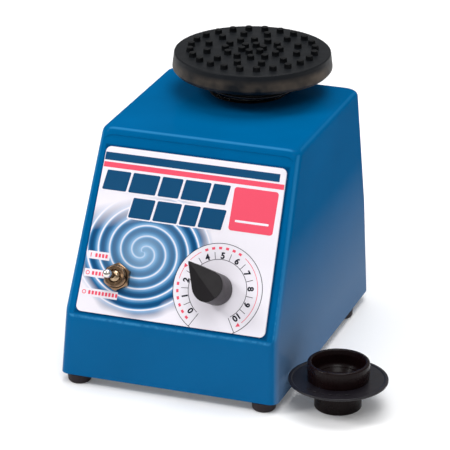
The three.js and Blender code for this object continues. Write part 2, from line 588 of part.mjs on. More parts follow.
// A soft ring lines the hole in the housing's top.
place('top_grommet', 'black', onShaft(turned([[18.4, TOP_Z - WALL - 1.4], [21.8, TOP_Z - WALL - 1.4],
  [21.8, TOP_Z - WALL - GAP], [TOP_HOLE_R - GAP, TOP_Z - WALL - GAP], [TOP_HOLE_R - GAP, TOP_Z + GAP],
  [21.6, TOP_Z + GAP], [21.2, TOP_Z + 0.7], [18.4, TOP_Z + 0.7]])));

// ---------------------------------------------------------------- touch switch under the shaft
const CUP_TOP = SHAFT_LOW - GAP;
const CUP_RIM_Z = CUP_TOP - 1.9;       // underside of the thrust cup's rim
const CUP_LOW = CUP_RIM_Z - 6.8;
const GUIDE_TOP = CUP_RIM_Z - PRESS - 1.5;
const GUIDE_FLOOR = PLATE_TOP + 2;
place('thrust_guide', 'black', onShaft(turned([[0, PLATE_TOP + GAP], [13, PLATE_TOP + GAP], [13, GUIDE_FLOOR],
  [8.8, GUIDE_FLOOR], [8.8, GUIDE_TOP], [6.4, GUIDE_TOP], [6.4, GUIDE_FLOOR], [0, GUIDE_FLOOR]], 20)));
place('thrust_cup', 'bronze', onShaft(turned([[0, CUP_LOW], [6, CUP_LOW], [6, CUP_RIM_Z], [9, CUP_RIM_Z],
  [9, CUP_TOP], [0, CUP_TOP]], 20)));

class Helix extends THREE.Curve {
  constructor(radius, z0, z1, turns) {
    super();
    Object.assign(this, { radius, z0, z1, turns });
  }
  getPoint(t, target = new THREE.Vector3()) {
    const a = 2 * Math.PI * this.turns * t;
    const z = THREE.MathUtils.lerp(this.z0, this.z1, t);
    return target.set(this.radius * Math.cos(a), this.radius * Math.sin(a), z);
  }
}
function makeSpring() {
  const wire = 0.4;
  const path = new Helix(4.6, GUIDE_FLOOR + GAP + wire, CUP_LOW - GAP - wire, 3);
  const settings = { steps: 36, extrudePath: path, bevelEnabled: false };
  return onShaft(solid(new THREE.ExtrudeGeometry(new THREE.Shape(regular(5, wire)), settings)));
}
place('return_spring', 'steel', makeSpring());

// A snap switch beside the guide: its lever lies just under the thrust cup's rim.
const LEVER_Z = CUP_RIM_Z - GAP;
const switchCase = box(14.5, 34.5, AXIS_Y - 3.2, AXIS_Y + 3.2, PLATE_TOP + GAP, LEVER_Z - 3.9);
const leverPost = box(31, 33.6, AXIS_Y - 3.2, AXIS_Y + 3.2, LEVER_Z - 4.5, LEVER_Z - 1);
place('touch_switch_body', 'black', join(switchCase, leverPost));
place('touch_switch_lever', 'steel', box(7.4, 33.6, AXIS_Y - 2, AXIS_Y + 2, LEVER_Z - 0.5, LEVER_Z));

// ---------------------------------------------------------------- spare cup head
const SPARE_FLANGE_R = 26.3;
const SPARE_FLANGE_Z = 15.3;
const SPARE_CUP_R = 16.6;
const SPARE_TOP = 26;
const spare = turned([[0, 0], [STEM_R - 0.8, 0], [STEM_R, 0.8], [STEM_R, SPARE_FLANGE_Z - 0.6],
  [SPARE_FLANGE_R, SPARE_FLANGE_Z - 0.2], [SPARE_FLANGE_R, SPARE_FLANGE_Z + 0.9],
  [SPARE_CUP_R - 0.4, SPARE_FLANGE_Z + 1.2], [SPARE_CUP_R - 0.2, SPARE_TOP - 1],
  [SPARE_CUP_R - 0.8, SPARE_TOP],
  [SPARE_CUP_R - 2, SPARE_TOP], [SPARE_CUP_R - 2.8, SPARE_TOP - 2], [SPARE_CUP_R - 3, 17.5],
  [9, 12.5], [0, 10.6]], 32);
place('spare_cup', 'black', moved(spare, SPARE_AT.x, SPARE_AT.y));

export default group;
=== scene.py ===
"""The looks of a bench vortex mixer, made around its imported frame.

Shapes are written in millimetres, each in its own local frame, and become metres when they are placed.
+Z is up, -Y is the front. The sloping control panel has a frame of its own: X across, Y up the slope
and Z straight out of it, with its origin at the middle of the speed dial or of the toggle switch.
"""

import json
import math

import bmesh
import bpy
from mathutils import Matrix, Vector

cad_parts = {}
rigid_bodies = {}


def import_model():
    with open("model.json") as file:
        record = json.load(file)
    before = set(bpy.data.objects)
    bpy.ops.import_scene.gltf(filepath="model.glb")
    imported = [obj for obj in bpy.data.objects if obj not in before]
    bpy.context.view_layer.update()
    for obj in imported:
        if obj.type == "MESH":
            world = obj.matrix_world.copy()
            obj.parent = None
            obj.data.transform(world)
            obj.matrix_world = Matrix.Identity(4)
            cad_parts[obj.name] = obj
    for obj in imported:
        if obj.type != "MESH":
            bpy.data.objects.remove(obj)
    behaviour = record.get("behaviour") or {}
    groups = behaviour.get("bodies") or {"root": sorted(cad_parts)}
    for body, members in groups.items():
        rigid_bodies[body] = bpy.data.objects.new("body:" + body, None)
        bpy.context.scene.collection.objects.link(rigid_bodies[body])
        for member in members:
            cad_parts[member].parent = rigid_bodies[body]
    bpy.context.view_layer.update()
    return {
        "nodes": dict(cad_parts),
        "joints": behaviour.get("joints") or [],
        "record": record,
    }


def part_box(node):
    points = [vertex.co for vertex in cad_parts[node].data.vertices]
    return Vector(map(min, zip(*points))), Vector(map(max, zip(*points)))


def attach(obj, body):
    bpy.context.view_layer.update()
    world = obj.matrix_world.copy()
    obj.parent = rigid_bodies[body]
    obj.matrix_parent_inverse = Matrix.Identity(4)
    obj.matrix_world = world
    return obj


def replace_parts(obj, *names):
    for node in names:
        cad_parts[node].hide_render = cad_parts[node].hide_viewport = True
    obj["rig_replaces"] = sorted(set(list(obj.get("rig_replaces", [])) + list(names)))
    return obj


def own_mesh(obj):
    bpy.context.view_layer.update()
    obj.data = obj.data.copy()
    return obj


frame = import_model()

MM = 0.001
TINY = 1e-6
UP = Vector((0, 0, 1))
scene = bpy.context.scene


# -------------------- places taken from the frame
def low_mm(node):
    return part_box(node)[0] / MM


def high_mm(node):
    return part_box(node)[1] / MM


def middle_mm(node):
    return (low_mm(node) + high_mm(node)) / 2


def joint(name):
    return next(j for j in frame["joints"] if j["name"] == name)


def at(x=0.0, y=0.0, z=0.0):
    return Matrix.Translation((x, y, z))


def turn(degrees, axis="Z"):
    return Matrix.Rotation(math.radians(degrees), 4, axis)


PANEL_OUT = Vector(joint("knob_turn")["axis"]).normalized()
PANEL_UP = PANEL_OUT.cross(Vector((1, 0, 0)))
PANEL_TURN = Matrix((Vector((1, 0, 0)), PANEL_UP, PANEL_OUT)).transposed().to_4x4()
LEVER_PIVOT_OUT = 5.0  # from the panel to the toggle lever's pivot
DIAL = Matrix.Translation(Vector(joint("knob_turn")["pos_m"]) / MM) @ PANEL_TURN
LEVER_PIVOT = Matrix.Translation(Vector(joint("toggle_switch")["pos_m"]) / MM)
TOGGLE = LEVER_PIVOT @ PANEL_TURN @ at(z=-LEVER_PIVOT_OUT)
HEAD = at(*middle_mm("platform_pad").xy)
SHAFT = at(*middle_mm("top_grommet").xy)
SPARE = at(*middle_mm("spare_cup").xy)
FEET = [name for name in frame["nodes"] if name.startswith("foot_")]


# -------------------- shape helpers
def rounded(corners, steps=5):
    """An outline through corners (x, y) or (x, y, radius); a corner with a radius becomes an arc."""
    outline = []
    for i, corner in enumerate(corners):
        here = Vector(corner[:2])
        radius = corner[2] if len(corner) > 2 else 0
        if not radius:
            outline.append(tuple(here))
            continue
        back = (Vector(corners[i - 1][:2]) - here).normalized()
        ahead = (Vector(corners[(i + 1) % len(corners)][:2]) - here).normalized()
        half = back.angle(ahead) / 2
        centre = here + (back + ahead).normalized() * radius / math.sin(half)
        arm = here + back * radius / math.tan(half) - centre
        side = 1 if back.cross(ahead) < 0 else -1
        for k in range(steps + 1):
            spoke = arm.copy()
            spoke.rotate(Matrix.Rotation(side * (math.pi - 2 * half) * k / steps, 2))
            outline.append(tuple(centre + spoke))
    return outline


def rectangle(x0, x1, y0, y1, radius=0.0, steps=5):
    return rounded([(x0, y0, radius), (x1, y0, radius), (x1, y1, radius), (x0, y1, radius)], steps)


def arc_points(radius, start, end, steps):
    """Points on a circle between two clock angles, in degrees clockwise from up."""
    angles = [math.radians(start + (end - start) * k / steps) for k in range(steps + 1)]
    return [(radius * math.sin(a), radius * math.cos(a)) for a in angles]


def turned(profile, segments=72):
    """A solid of revolution about Z, from (radius, z) points: from axis to axis, or a closed ring."""
    bm = bmesh.new()
    angles = [math.tau * i / segments for i in range(segments)]
    spokes = [(math.cos(a), math.sin(a)) for a in angles]
    rings = []
    for r, z in profile:
        ring = [(r * c, r * s, z) for c, s in spokes] if r > TINY else [(0, 0, z)]
        rings.append([bm.verts.new(co) for co in ring])
    pairs = list(zip(rings, rings[1:]))
    if profile[0][0] > TINY or profile[-1][0] > TINY:
        pairs.append((rings[-1], rings[0]))
    for low, high in pairs:
        for i in range(segments):
            j = (i + 1) % segments
            corners = [low[i % len(low)], low[j % len(low)], high[j % len(high)], high[i % len(high)]]
            distinct = list(dict.fromkeys(corners))
            if len(distinct) > 2:
                bm.faces.new(distinct)
    bmesh.ops.recalc_face_normals(bm, faces=bm.faces)
    return bm


def soften(bm, width, steps=3, least=30):
    """Rounds every edge that is sharper than least degrees."""
    sharp = [e for e in bm.edges if e.is_manifold and e.calc_face_angle(0) > math.radians(least)]
    bmesh.ops.bevel(bm, geom=sharp, offset=width, segments=steps, profile=0.5, affect="EDGES",
                    clamp_overlap=True)
    return bm


def prism(outline, low, high, edge=0.0, steps=3):
    """A flat outline raised from low to high, with its sharp edges rounded by edge."""
    bm = bmesh.new()
    face = bm.faces.new([bm.verts.new((x, y, low)) for x, y in outline])
    raised = bmesh.ops.extrude_face_region(bm, geom=[face])
    top = [v for v in raised["geom"] if isinstance(v, bmesh.types.BMVert)]
    bmesh.ops.translate(bm, verts=top, vec=(0, 0, high - low))
    bmesh.ops.recalc_face_normals(bm, faces=bm.faces)
    return soften(bm, edge, steps) if edge else bm


def band(inner, outer, start, end, low, high, steps=72):
    """Part of a flat ring between two clock angles."""
    return prism(arc_points(outer, start, end, steps) + arc_points(inner, end, start, steps), low, high)


def moved(bm, matrix):
    bmesh.ops.transform(bm, matrix=matrix, verts=bm.verts)
    return bm


def joined(parts):
    """Separate solids held in one mesh."""
    whole = bmesh.new()
    for bm in parts:
        mesh = bpy.data.meshes.new("part")
        bm.to_mesh(mesh)
        bm.free()
        whole.from_mesh(mesh)
        bpy.data.meshes.remove(mesh)
    return whole


def scratch_object(bm):
    mesh = bpy.data.meshes.new("scratch")
    bm.to_mesh(mesh)
    bm.free()
    made = bpy.data.objects.new("scratch", mesh)
    scene.collection.objects.link(made)
    return made


def carved(bm, tools, operation="DIFFERENCE"):
    """The solid bm with each tool cut from it, joined to it (UNION) or limiting it (INTERSECT)."""
    base = scratch_object(bm)
    cutters = [scratch_object(tool) for tool in tools]
    for cutter in cutters:
        modifier = base.modifiers.new("carve", "BOOLEAN")
        modifier.operation = operation
        modifier.solver = "EXACT"
        modifier.object = cutter
    shape = bpy.data.meshes.new_from_object(base.evaluated_get(bpy.context.evaluated_depsgraph_get()))
    result = bmesh.new()
    result.from_mesh(shape)
    for leftover in [base, *cutters]:
        bpy.data.meshes.remove(leftover.data)
    bpy.data.meshes.remove(shape)
    return result


def piece(name, bm, look, place=Matrix(), body="chassis", cad=()):
    """A finished piece: bm, given in millimetres, is placed, smoothed, painted and set on its body."""
    moved(bm, Matrix.Scale(MM, 4) @ place)
    mesh = bpy.data.meshes.new(name)
    bm.to_mesh(mesh)
    bm.free()
    mesh.polygons.foreach_set("use_smooth", [True] * len(mesh.polygons))
    mesh.set_sharp_from_angle(angle=math.radians(35))
    mesh.materials.append(look)
    made = bpy.data.objects.new(name, mesh)
    scene.collection.objects.link(made)
    normals = made.modifiers.new("even_normals", "WEIGHTED_NORMAL")
    normals.keep_sharp = True
    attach(made, body)
    if cad:
        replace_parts(made, *cad)
    return made


# -------------------- material helpers
def srgb(red, green, blue):
    """A linear colour from display values of 0 to 255."""
    shares = [value / 255 for value in (red, green, blue)]
    return (*[s / 12.92 if s <= 0.04045 else ((s + 0.055) / 1.055) ** 2.4 for s in shares], 1)


def node(look, kind, inputs=(), **settings):
    """Adds a node; inputs maps a socket's name or number to a value or to another node's output."""
    made = look.node_tree.nodes.new(kind)
    for key, value in settings.items():
        setattr(made, key, value)
    for key, value in dict(inputs).items():
        if isinstance(value, bpy.types.NodeSocket):
            look.node_tree.links.new(value, made.inputs[key])
        else:
            made.inputs[key].default_value = value
    return made


def maths(look, operation, *values):
    return node(look, "ShaderNodeMath", enumerate(values), operation=operation).outputs[0]


def noise(look, place, size, detail=3.0, stretch=None):
    """Soft noise whose lumps are about size millimetres across."""
    if stretch:
        place = node(look, "ShaderNodeVectorMath", {0: place, 1: stretch}, operation="MULTIPLY").outputs[0]
    inputs = {"Vector": place, "Scale": 1 / (size * MM), "Detail": detail, "Roughness": 0.55}
    return node(look, "ShaderNodeTexNoise", inputs).outputs["Fac"]


def ramp(look, value, stops):
    """Colours along a value, from (position, colour) stops."""
    made = node(look, "ShaderNodeValToRGB", {"Fac": value})
    elements = made.color_ramp.elements
    while len(elements) < len(stops):
        elements.new(0.5)
    for element, (position, color) in zip(elements, stops):
        element.position = position
        element.color = color
    return made.outputs["Color"]


def spread(look, value, low, high, start=0.0, end=1.0):
    """Maps value from start..end to low..high."""
    inputs = {"Value": value, "From Min": start, "From Max": end, "To Min": low, "To Max": high}
    return node(look, "ShaderNodeMapRange", inputs).outputs["Result"]


def mixed(look, share, first, second):
    """The first colour turned into the second by share."""
    made = node(look, "ShaderNodeMix", data_type="RGBA", blend_type="MIX")
    for socket, value in zip([made.inputs[0], made.inputs[6], made.inputs[7]], [share, first, second]):
        if isinstance(value, bpy.types.NodeSocket):
            look.node_tree.links.new(value, socket)
        else:
            socket.default_value = value
    return made.outputs[2]


def shader_of(look):
    return look.node_tree.nodes["Principled BSDF"]


def base_color(look):
    return shader_of(look).inputs["Base Color"].links[0].from_socket


def feed(look, socket, value):
    look.node_tree.links.new(value, shader_of(look).inputs[socket])


def scaled(color, share):
    return (*[min(c * share, 1) for c in color[:3]], 1)


def finish(name, color, rough, mottle=(12, 0.12), grain=(0.6, 0.02), uneven=0.12, stretch=None, **sockets):
    """A material with soft colour variation, uneven gloss and fine relief.

    mottle is (size in mm, share of colour change), grain is (size in mm, depth in mm), uneven is the
    share by which the gloss varies, and stretch squeezes the relief's lumps along each axis."""
    look = bpy.data.materials.new(name)
    look.use_nodes = True
    for socket, value in sockets.items():
        shader_of(look).inputs[socket.replace("_", " ")].default_value = value
    place = node(look, "ShaderNodeTexCoord").outputs["Object"]
    size, share = mottle
    tone = spread(look, noise(look, place, size), 0, 1, 0.3, 0.7)
    feed(look, "Base Color", mixed(look, tone, scaled(color, 1 - share), scaled(color, 1 + share)))
    gloss = noise(look, place, size * 0.6, detail=5)
    feed(look, "Roughness", spread(look, gloss, rough * (1 - uneven), rough * (1 + uneven), 0.3, 0.7))
    size, depth = grain
    relief = noise(look, place, size, detail=2, stretch=stretch)
    bump = node(look, "ShaderNodeBump", {"Strength": 1.0, "Distance": depth * MM, "Height": relief})
    feed(look, "Normal", bump.outputs["Normal"])
    return look


# -------------------- materials
RIGHT = Vector((1, 0, 0.04))  # which way each wall faces; they all lean in a little
LEFT = Vector((-1, 0, 0.04))
FRONT = Vector((0, -1, 0.04))
BACK = Vector((0, 1, 0.04))
# the two faces at each edge of the casing, and how strong the painted highlight line on it is
CASING_EDGES = [(UP, PANEL_OUT, 0.32), (UP, RIGHT, 0.12), (UP, LEFT, 0.12), (PANEL_OUT, RIGHT, 0.24),
                (PANEL_OUT, LEFT, 0.24), (FRONT, RIGHT, 0.08), (FRONT, LEFT, 0.08), (BACK, RIGHT, 0.1),
                (BACK, LEFT, 0.1)]
CREST_OUTER = math.cos(math.radians(15))  # the line starts this far round from an edge's crest
CREST_INNER = math.cos(math.radians(3))  # and is full this close to it
PAINTED_REFLECTION_HEIGHTS = (22 * MM, 88 * MM)  # painted greyish reflection on the sides: full below the first, none above the second
COAT_HEIGHTS = (30 * MM, 85 * MM)  # gloss: full below the first, least above the second
LABEL_X = -23.4  # middle of the label, in the dial's frame, in millimetres
LABEL_LOW = -21.4
LABEL_HIGH = 67.6
HALF_LOW = 52.8  # half the label's width at its lower edge
HALF_HIGH = 50.4  # and at its upper edge
RECESS = 5.1  # how far the shallow recess reaches past the label's sides
RECESS_LOW = 3.0  # and past its lower and upper edges
RECESS_HIGH = 6.6
RECESS_DEPTH = 0.5
NO_LINE = 30  # allowance that leaves the recess's upper wall without a painted highlight line


def edge_lines(look):
    """How strongly a highlight is painted on the crest of each rounded edge between two faces."""
    normal = node(look, "ShaderNodeTexCoord").outputs["Normal"]
    share = 0
    for first, second, most in CASING_EDGES:
        crest = (first.normalized() + second.normalized()).normalized()
        toward = node(look, "ShaderNodeVectorMath", {0: normal, 1: crest}, operation="DOT_PRODUCT")
        line = spread(look, toward.outputs["Value"], 0, most, CREST_OUTER, CREST_INNER)
        share = maths(look, "MAXIMUM", share, line)
    return share


def panel_place(look):
    """A point's place across and up the control panel, from the middle of the dial, in millimetres."""
    place = node(look, "ShaderNodeTexCoord").outputs["Object"]
    settings = {"Vector": place, "Location": Vector(joint("knob_turn")["pos_m"]),
                "Rotation": PANEL_TURN.to_euler(), "Scale": (MM, MM, MM)}
    local = node(look, "ShaderNodeMapping", settings, vector_type="TEXTURE").outputs["Vector"]
    parts = node(look, "ShaderNodeSeparateXYZ", {"Vector": local})
    return parts.outputs["X"], parts.outputs["Y"], parts.outputs["Z"]


def past_label(look, spare_low=0.0, spare_high=0.0):
    """Millimetres that a point on the panel lies outside the label, grown by these spares."""
    x, y, _ = panel_place(look)
    aside = maths(look, "ABSOLUTE", maths(look, "SUBTRACT", x, LABEL_X))
    aside = maths(look, "SUBTRACT", aside, spread(look, y, HALF_LOW, HALF_HIGH, LABEL_LOW, LABEL_HIGH))
    above = maths(look, "SUBTRACT", y, LABEL_HIGH + spare_high)
    below = maths(look, "SUBTRACT", LABEL_LOW - spare_low, y)
    return maths(look, "MAXIMUM", aside, maths(look, "MAXIMUM", above, below))


def on_panel(look, share):
    """Share, kept to the faces near the sloping panel's own plane."""
    _, _, z = panel_place(look)
    near = spread(look, maths(look, "ABSOLUTE", z), 1, 0, 0.8, 1.2)
    return maths(look, "MULTIPLY", near, share)


def casing_paint():
    """Blue satin enamel with a broad ripple under a fine orange peel and painted highlights along its edges.

    A painted highlight line runs round the label's recess, a painted greyish reflection lies low on the
    sides, and painted shade darkens a band round the label."""
    look = finish("casing_paint", srgb(0, 90, 142), 0.34, mottle=(45, 0.06), grain=(0.9, 0.008),
                  Specular_IOR_Level=0.0, Coat_Roughness=0.16)
    place = node(look, "ShaderNodeTexCoord").outputs["Object"]
    fine = shader_of(look).inputs["Normal"].links[0].from_node
    waves = noise(look, place, 16)
    ripple = node(look, "ShaderNodeBump", {"Strength": 1.0, "Distance": 0.05 * MM, "Height": waves})
    look.node_tree.links.new(ripple.outputs["Normal"], fine.inputs["Normal"])
    height = node(look, "ShaderNodeSeparateXYZ", {"Vector": place}).outputs["Z"]
    normal = node(look, "ShaderNodeTexCoord").outputs["Normal"]
    facing = node(look, "ShaderNodeSeparateXYZ", {"Vector": normal}).outputs["X"]
    sides = spread(look, maths(look, "ABSOLUTE", facing), 0, 1, 0.6, 0.95)
    # a painted greyish reflection, low on the faces that look sideways
    painted_reflection = maths(look, "MULTIPLY", sides, spread(look, height, 0.6, 0, *PAINTED_REFLECTION_HEIGHTS))
    color = mixed(look, painted_reflection, base_color(look), srgb(108, 130, 158))
    # painted shade: a dark band hugging the label's edge, where the recess lies in shadow
    painted_shade = on_panel(look, spread(look, past_label(look), 0.6, 0, 0.5, 1.7))
    color = mixed(look, painted_shade, color, srgb(0, 40, 78))
    # a painted highlight line along the recess's wall, broken up by noise
    rim = maths(look, "SUBTRACT", past_label(look, RECESS_LOW - RECESS, NO_LINE), RECESS)
    line = spread(look, maths(look, "ABSOLUTE", rim), 1, 0, 0.45, 1.3)
    highlight_breaks = spread(look, noise(look, place, 2.5), 0.12, 0.42, 0.35, 0.6)
    painted_highlight = on_panel(look, maths(look, "MULTIPLY", line, highlight_breaks))
    # painted highlights on the crests of the casing's rounded edges join it, mixed in as a lighter blue
    painted_highlight = maths(look, "MAXIMUM", painted_highlight, edge_lines(look))
    feed(look, "Base Color", mixed(look, painted_highlight, color, srgb(70, 160, 214)))
    feed(look, "Coat Weight", spread(look, height, 0.12, 0.03, *COAT_HEIGHTS))
    return look


def printed_film(look_name, color):
    return finish(look_name, color, 0.42, mottle=(30, 0.02), grain=(0.35, 0.004), Specular_IOR_Level=0.15)


WHITE = srgb(232, 228, 236)
INK_BLUE = srgb(0, 68, 108)
INK_RED = srgb(232, 80, 104)
INK_DARK = srgb(16, 18, 34)
SWIRL_CENTRE = (-44.0, 14.1)  # in the dial's frame, in millimetres
SWIRL_PITCH = 12.6  # between turns of one arm; there are two
SWIRL_FLATTER = 1.12  # width over height


def swirl_print():
    """White film with a plain even spiral in soft blues, which fades out towards the film's edges."""
    look = printed_film("swirl_print", WHITE)
    place = node(look, "ShaderNodeTexCoord").outputs["Object"]
    across, up, _ = panel_place(look)
    x = maths(look, "SUBTRACT", across, SWIRL_CENTRE[0])
    y = maths(look, "MULTIPLY", maths(look, "SUBTRACT", up, SWIRL_CENTRE[1]), SWIRL_FLATTER)
    squares = [maths(look, "MULTIPLY", x, x), maths(look, "MULTIPLY", y, y)]
    away = maths(look, "SQRT", maths(look, "ADD", *squares))
    angle = maths(look, "DIVIDE", maths(look, "ARCTAN2", y, x), math.pi)
    arms = maths(look, "FRACT", maths(look, "ADD", maths(look, "DIVIDE", away, SWIRL_PITCH / 2), angle))
    pale = srgb(120, 166, 208)
    mid = srgb(24, 102, 152)
    deep = srgb(0, 68, 114)
    stops = [(0.0, WHITE), (0.05, WHITE), (0.1, pale), (0.34, mid), (0.52, deep), (0.72, deep), (0.84, mid),
             (0.92, pale), (0.97, WHITE)]
    blues = ramp(look, arms, stops)
    hub = spread(look, away, 0.6, 0, 2, 12)
    blues = mixed(look, hub, blues, srgb(160, 192, 220))
    blues = mixed(look, spread(look, away, 0.3, 0, 12, 28), blues, srgb(140, 180, 214))
    drift = spread(look, noise(look, place, 22, detail=1), -3, 3, 0.3, 0.7)
    far = spread(look, maths(look, "ADD", away, drift), 0, 1, 33, 41)
    right = spread(look, maths(look, "ADD", across, drift), 0, 1, -9, 2)
    high = spread(look, maths(look, "SUBTRACT", up, maths(look, "MULTIPLY", across, 0.3)), 0, 1, 44, 58)
    fade = maths(look, "MAXIMUM", maths(look, "MAXIMUM", far, right), high)
    feed(look, "Base Color", mixed(look, fade, blues, base_color(look)))
    return look


def pad_rubber():
    """Black rubber, its studs darker than the face from partway up.

    Brown patches round the rim paint a warm reflection.
    """
    look = finish("pad_rubber", srgb(22, 24, 27), 0.46, mottle=(9, 0.12), grain=(0.35, 0.016),
                  Specular_IOR_Level=0.1)
    place = node(look, "ShaderNodeTexCoord").outputs["Object"]
    height = node(look, "ShaderNodeSeparateXYZ", {"Vector": place}).outputs["Z"]
    low, high = low_mm("platform_pad").z, high_mm("platform_pad").z
    # the studs turn near black from partway up, darker than the face between them
    studs = spread(look, height, 0, 0.85, (high - 2.4) * MM, (high - 1.4) * MM)
    rim = spread(look, height, 1, 0, (low + 6) * MM, (low + 9) * MM)
    # brown patches on the lower rim paint a warm reflection
    patchy = spread(look, noise(look, place, 22), 0, 0.8, 0.42, 0.66)
    warm_reflection = mixed(look, maths(look, "MULTIPLY", rim, patchy), base_color(look), srgb(88, 78, 68))
    feed(look, "Base Color", mixed(look, studs, warm_reflection, srgb(7, 8, 10)))
    return look


KNOB_R = 8.4
KNOB_TIP = 16.8  # from the shaft's axis to where the knob's two flanks would meet
KNOB_LOW = 1.4  # its underside and the ridge of its top, above the panel
KNOB_TALL = 21.8
GABLE = 8 / 20  # how steeply the two top faces fall away from the ridge
KNOB_TURN = 45  # degrees from straight up to where it points at rest


def knob_plastic():
    """Black moulded plastic, greyer on its wall below the cap, with a dark joint line just under the cap."""
    look = finish("knob_plastic", srgb(22, 19, 22), 0.4, mottle=(5, 0.12), grain=(0.22, 0.012),
                  Specular_IOR_Level=0.15)
    x, y, z = panel_place(look)
    across = math.radians(KNOB_TURN)
    shares = [maths(look, "MULTIPLY", x, math.cos(across)), maths(look, "MULTIPLY", y, math.sin(across))]
    aside = maths(look, "ABSOLUTE", maths(look, "ADD", *shares))
    fall = maths(look, "MULTIPLY", aside, GABLE)
    down = maths(look, "SUBTRACT", maths(look, "SUBTRACT", KNOB_TALL, fall), z)
    wall = spread(look, down, 0, 1, 1.3, 1.7)
    starts, ends = spread(look, down, 0, 1, 0.5, 0.7), spread(look, down, 1, 0, 1.2, 1.4)
    joint_line = maths(look, "MULTIPLY", starts, ends)
    # the wall below the cap is a lighter grey
    color = mixed(look, wall, base_color(look), srgb(52, 47, 51))
    feed(look, "Base Color", mixed(look, joint_line, color, srgb(4, 3, 5)))
    return look


def steel(name, color, rough, stretch=None):
    return finish(name, color, rough, mottle=(5, 0.06), grain=(0.25, 0.004), uneven=0.2, stretch=stretch,
                  Metallic=1.0)


LOOKS = {
    "housing_paint": casing_paint(),
    "label_print": swirl_print(),
    "ink_white": printed_film("ink_white", WHITE),
    "ink_blue": printed_film("ink_blue", INK_BLUE),
    "ink_red": printed_film("ink_red", INK_RED),
    "ink_dark": printed_film("ink_dark", INK_DARK),
    "plated_steel": steel("plated_steel", srgb(186, 188, 190), 0.38),
    "screw_steel": steel("screw_steel", srgb(200, 201, 203), 0.3),
    "shaft_steel": steel("shaft_steel", srgb(205, 207, 210), 0.22, stretch=(1, 1, 12)),
    "laminate": steel("laminate", srgb(120, 122, 126), 0.5, stretch=(1, 1, 14)),
    "cast_aluminium": finish("cast_aluminium", srgb(205, 207, 209), 0.45, mottle=(6, 0.08), grain=(0.7, 0.03),
                             Metallic=1.0),
    "toggle_nickel": finish("toggle_nickel", srgb(136, 110, 86), 0.2, mottle=(3, 0.3), grain=(0.3, 0.006),
                            uneven=0.3, Metallic=1.0),
    "ball_nickel": finish("ball_nickel", srgb(168, 146, 120), 0.22, mottle=(2, 0.25), grain=(0.3, 0.004),
                          Metallic=1.0),
    "lever_chrome": finish("lever_chrome", srgb(226, 222, 216), 0.1, mottle=(4, 0.05), grain=(0.5, 0.002),
                           Metallic=1.0),
    "pin_brass": finish("pin_brass", srgb(214, 178, 104), 0.25, mottle=(3, 0.1), grain=(0.3, 0.004),
                        Metallic=1.0),
    "bronze": finish("bronze", srgb(186, 140, 84), 0.42, mottle=(2, 0.15), grain=(0.3, 0.01), Metallic=1.0),
    "coil_copper": finish("coil_copper", srgb(178, 96, 52), 0.32, mottle=(3, 0.2), grain=(0.5, 0.12),
                          stretch=(1, 1, 4), Metallic=1.0),
    "board_laminate": finish("board_laminate", srgb(28, 84, 50), 0.4, mottle=(3, 0.15), grain=(0.4, 0.01)),
    "knob_plastic": knob_plastic(),
    "black_plastic": finish("black_plastic", srgb(30, 29, 31), 0.42, mottle=(8, 0.12), grain=(0.3, 0.014)),
    "foot_rubber": finish("foot_rubber", srgb(36, 27, 31), 0.6, mottle=(4, 0.18), grain=(0.4, 0.02),
                          Specular_IOR_Level=0.25),
    "pad_rubber": pad_rubber(),
    "head_rubber": finish("head_rubber", srgb(20, 9, 10), 0.28, mottle=(7, 0.2), grain=(0.4, 0.01),
                          Specular_IOR_Level=0.12),
    "hub_rubber": finish("hub_rubber", srgb(18, 14, 18), 0.16, mottle=(7, 0.2), grain=(0.6, 0.02),
                         Specular_IOR_Level=0.6),
    "cup_flange": finish("cup_flange", srgb(22, 19, 25), 0.36, mottle=(5, 0.16), grain=(0.5, 0.012),
                         Specular_IOR_Level=0.3),
}


# -------------------- casing
RIM_Z = low_mm("housing").z
TOP_Z = high_mm("housing").z
HALF_WIDTH = high_mm("housing").x
HALF_DEPTH = high_mm("housing").y
WALL = 2.6
SIDE_DRAFT = 0.042  # how much the sides lean in for each millimetre of height
CORNER_R = 5.0
EDGE_R = 4.0
BEND_BLEND = 2.0  # how far below and above its height a bend is rounded
FRONT_BEND = (40.4, 78.7)  # height, and distance in front of the middle
FRONT_CREASE = 31.4  # where the slope would meet the top
BACK_BEND = (60.0, 81.8)
BACK_TOP = 73.2


def bent_wall(bend, top):
    """How far a wall stands out at each height: near upright below its bend, leaning in above it."""
    bend_z, bend_out = bend
    below = (bend_out - HALF_DEPTH) / (bend_z - RIM_Z)
    above = (top - bend_out) / (TOP_Z - bend_z)

    def wall(z):
        d = z - bend_z
        if d <= -BEND_BLEND:
            return bend_out + below * d
        if d >= BEND_BLEND:
            return bend_out + above * d
        return bend_out + below * d + (above - below) * (d + BEND_BLEND) ** 2 / (4 * BEND_BLEND)
    return wall, above


def side_wall(z):
    return HALF_WIDTH - SIDE_DRAFT * (z - RIM_Z)


WALLS = {"side": (side_wall, -SIDE_DRAFT), "front": bent_wall(FRONT_BEND, FRONT_CREASE),
         "back": bent_wall(BACK_BEND, BACK_TOP)}


def rounded_wall(which, z, inset):
    """How far out a wall is, moved in by inset and rounded over into the flat top."""
    wall, lean = WALLS[which]
    stretch = math.hypot(1, lean)
    radius = max(EDGE_R - inset, 0.8)
    centre_z = TOP_Z - inset - radius
    tangent_z = centre_z - radius * lean / stretch
    if z <= tangent_z:
        return wall(z) - inset * stretch
    straight = wall(tangent_z) + lean * (centre_z - tangent_z) - inset * stretch
    return straight - radius * stretch + math.sqrt(max(radius ** 2 - (z - centre_z) ** 2, 0))


def casing_section(z, inset):
    x = rounded_wall("side", z, inset)
    front = -rounded_wall("front", z, inset)
    back = rounded_wall("back", z, inset)
    return rectangle(-x, x, front, back, max(CORNER_R - inset, 1), steps=9)


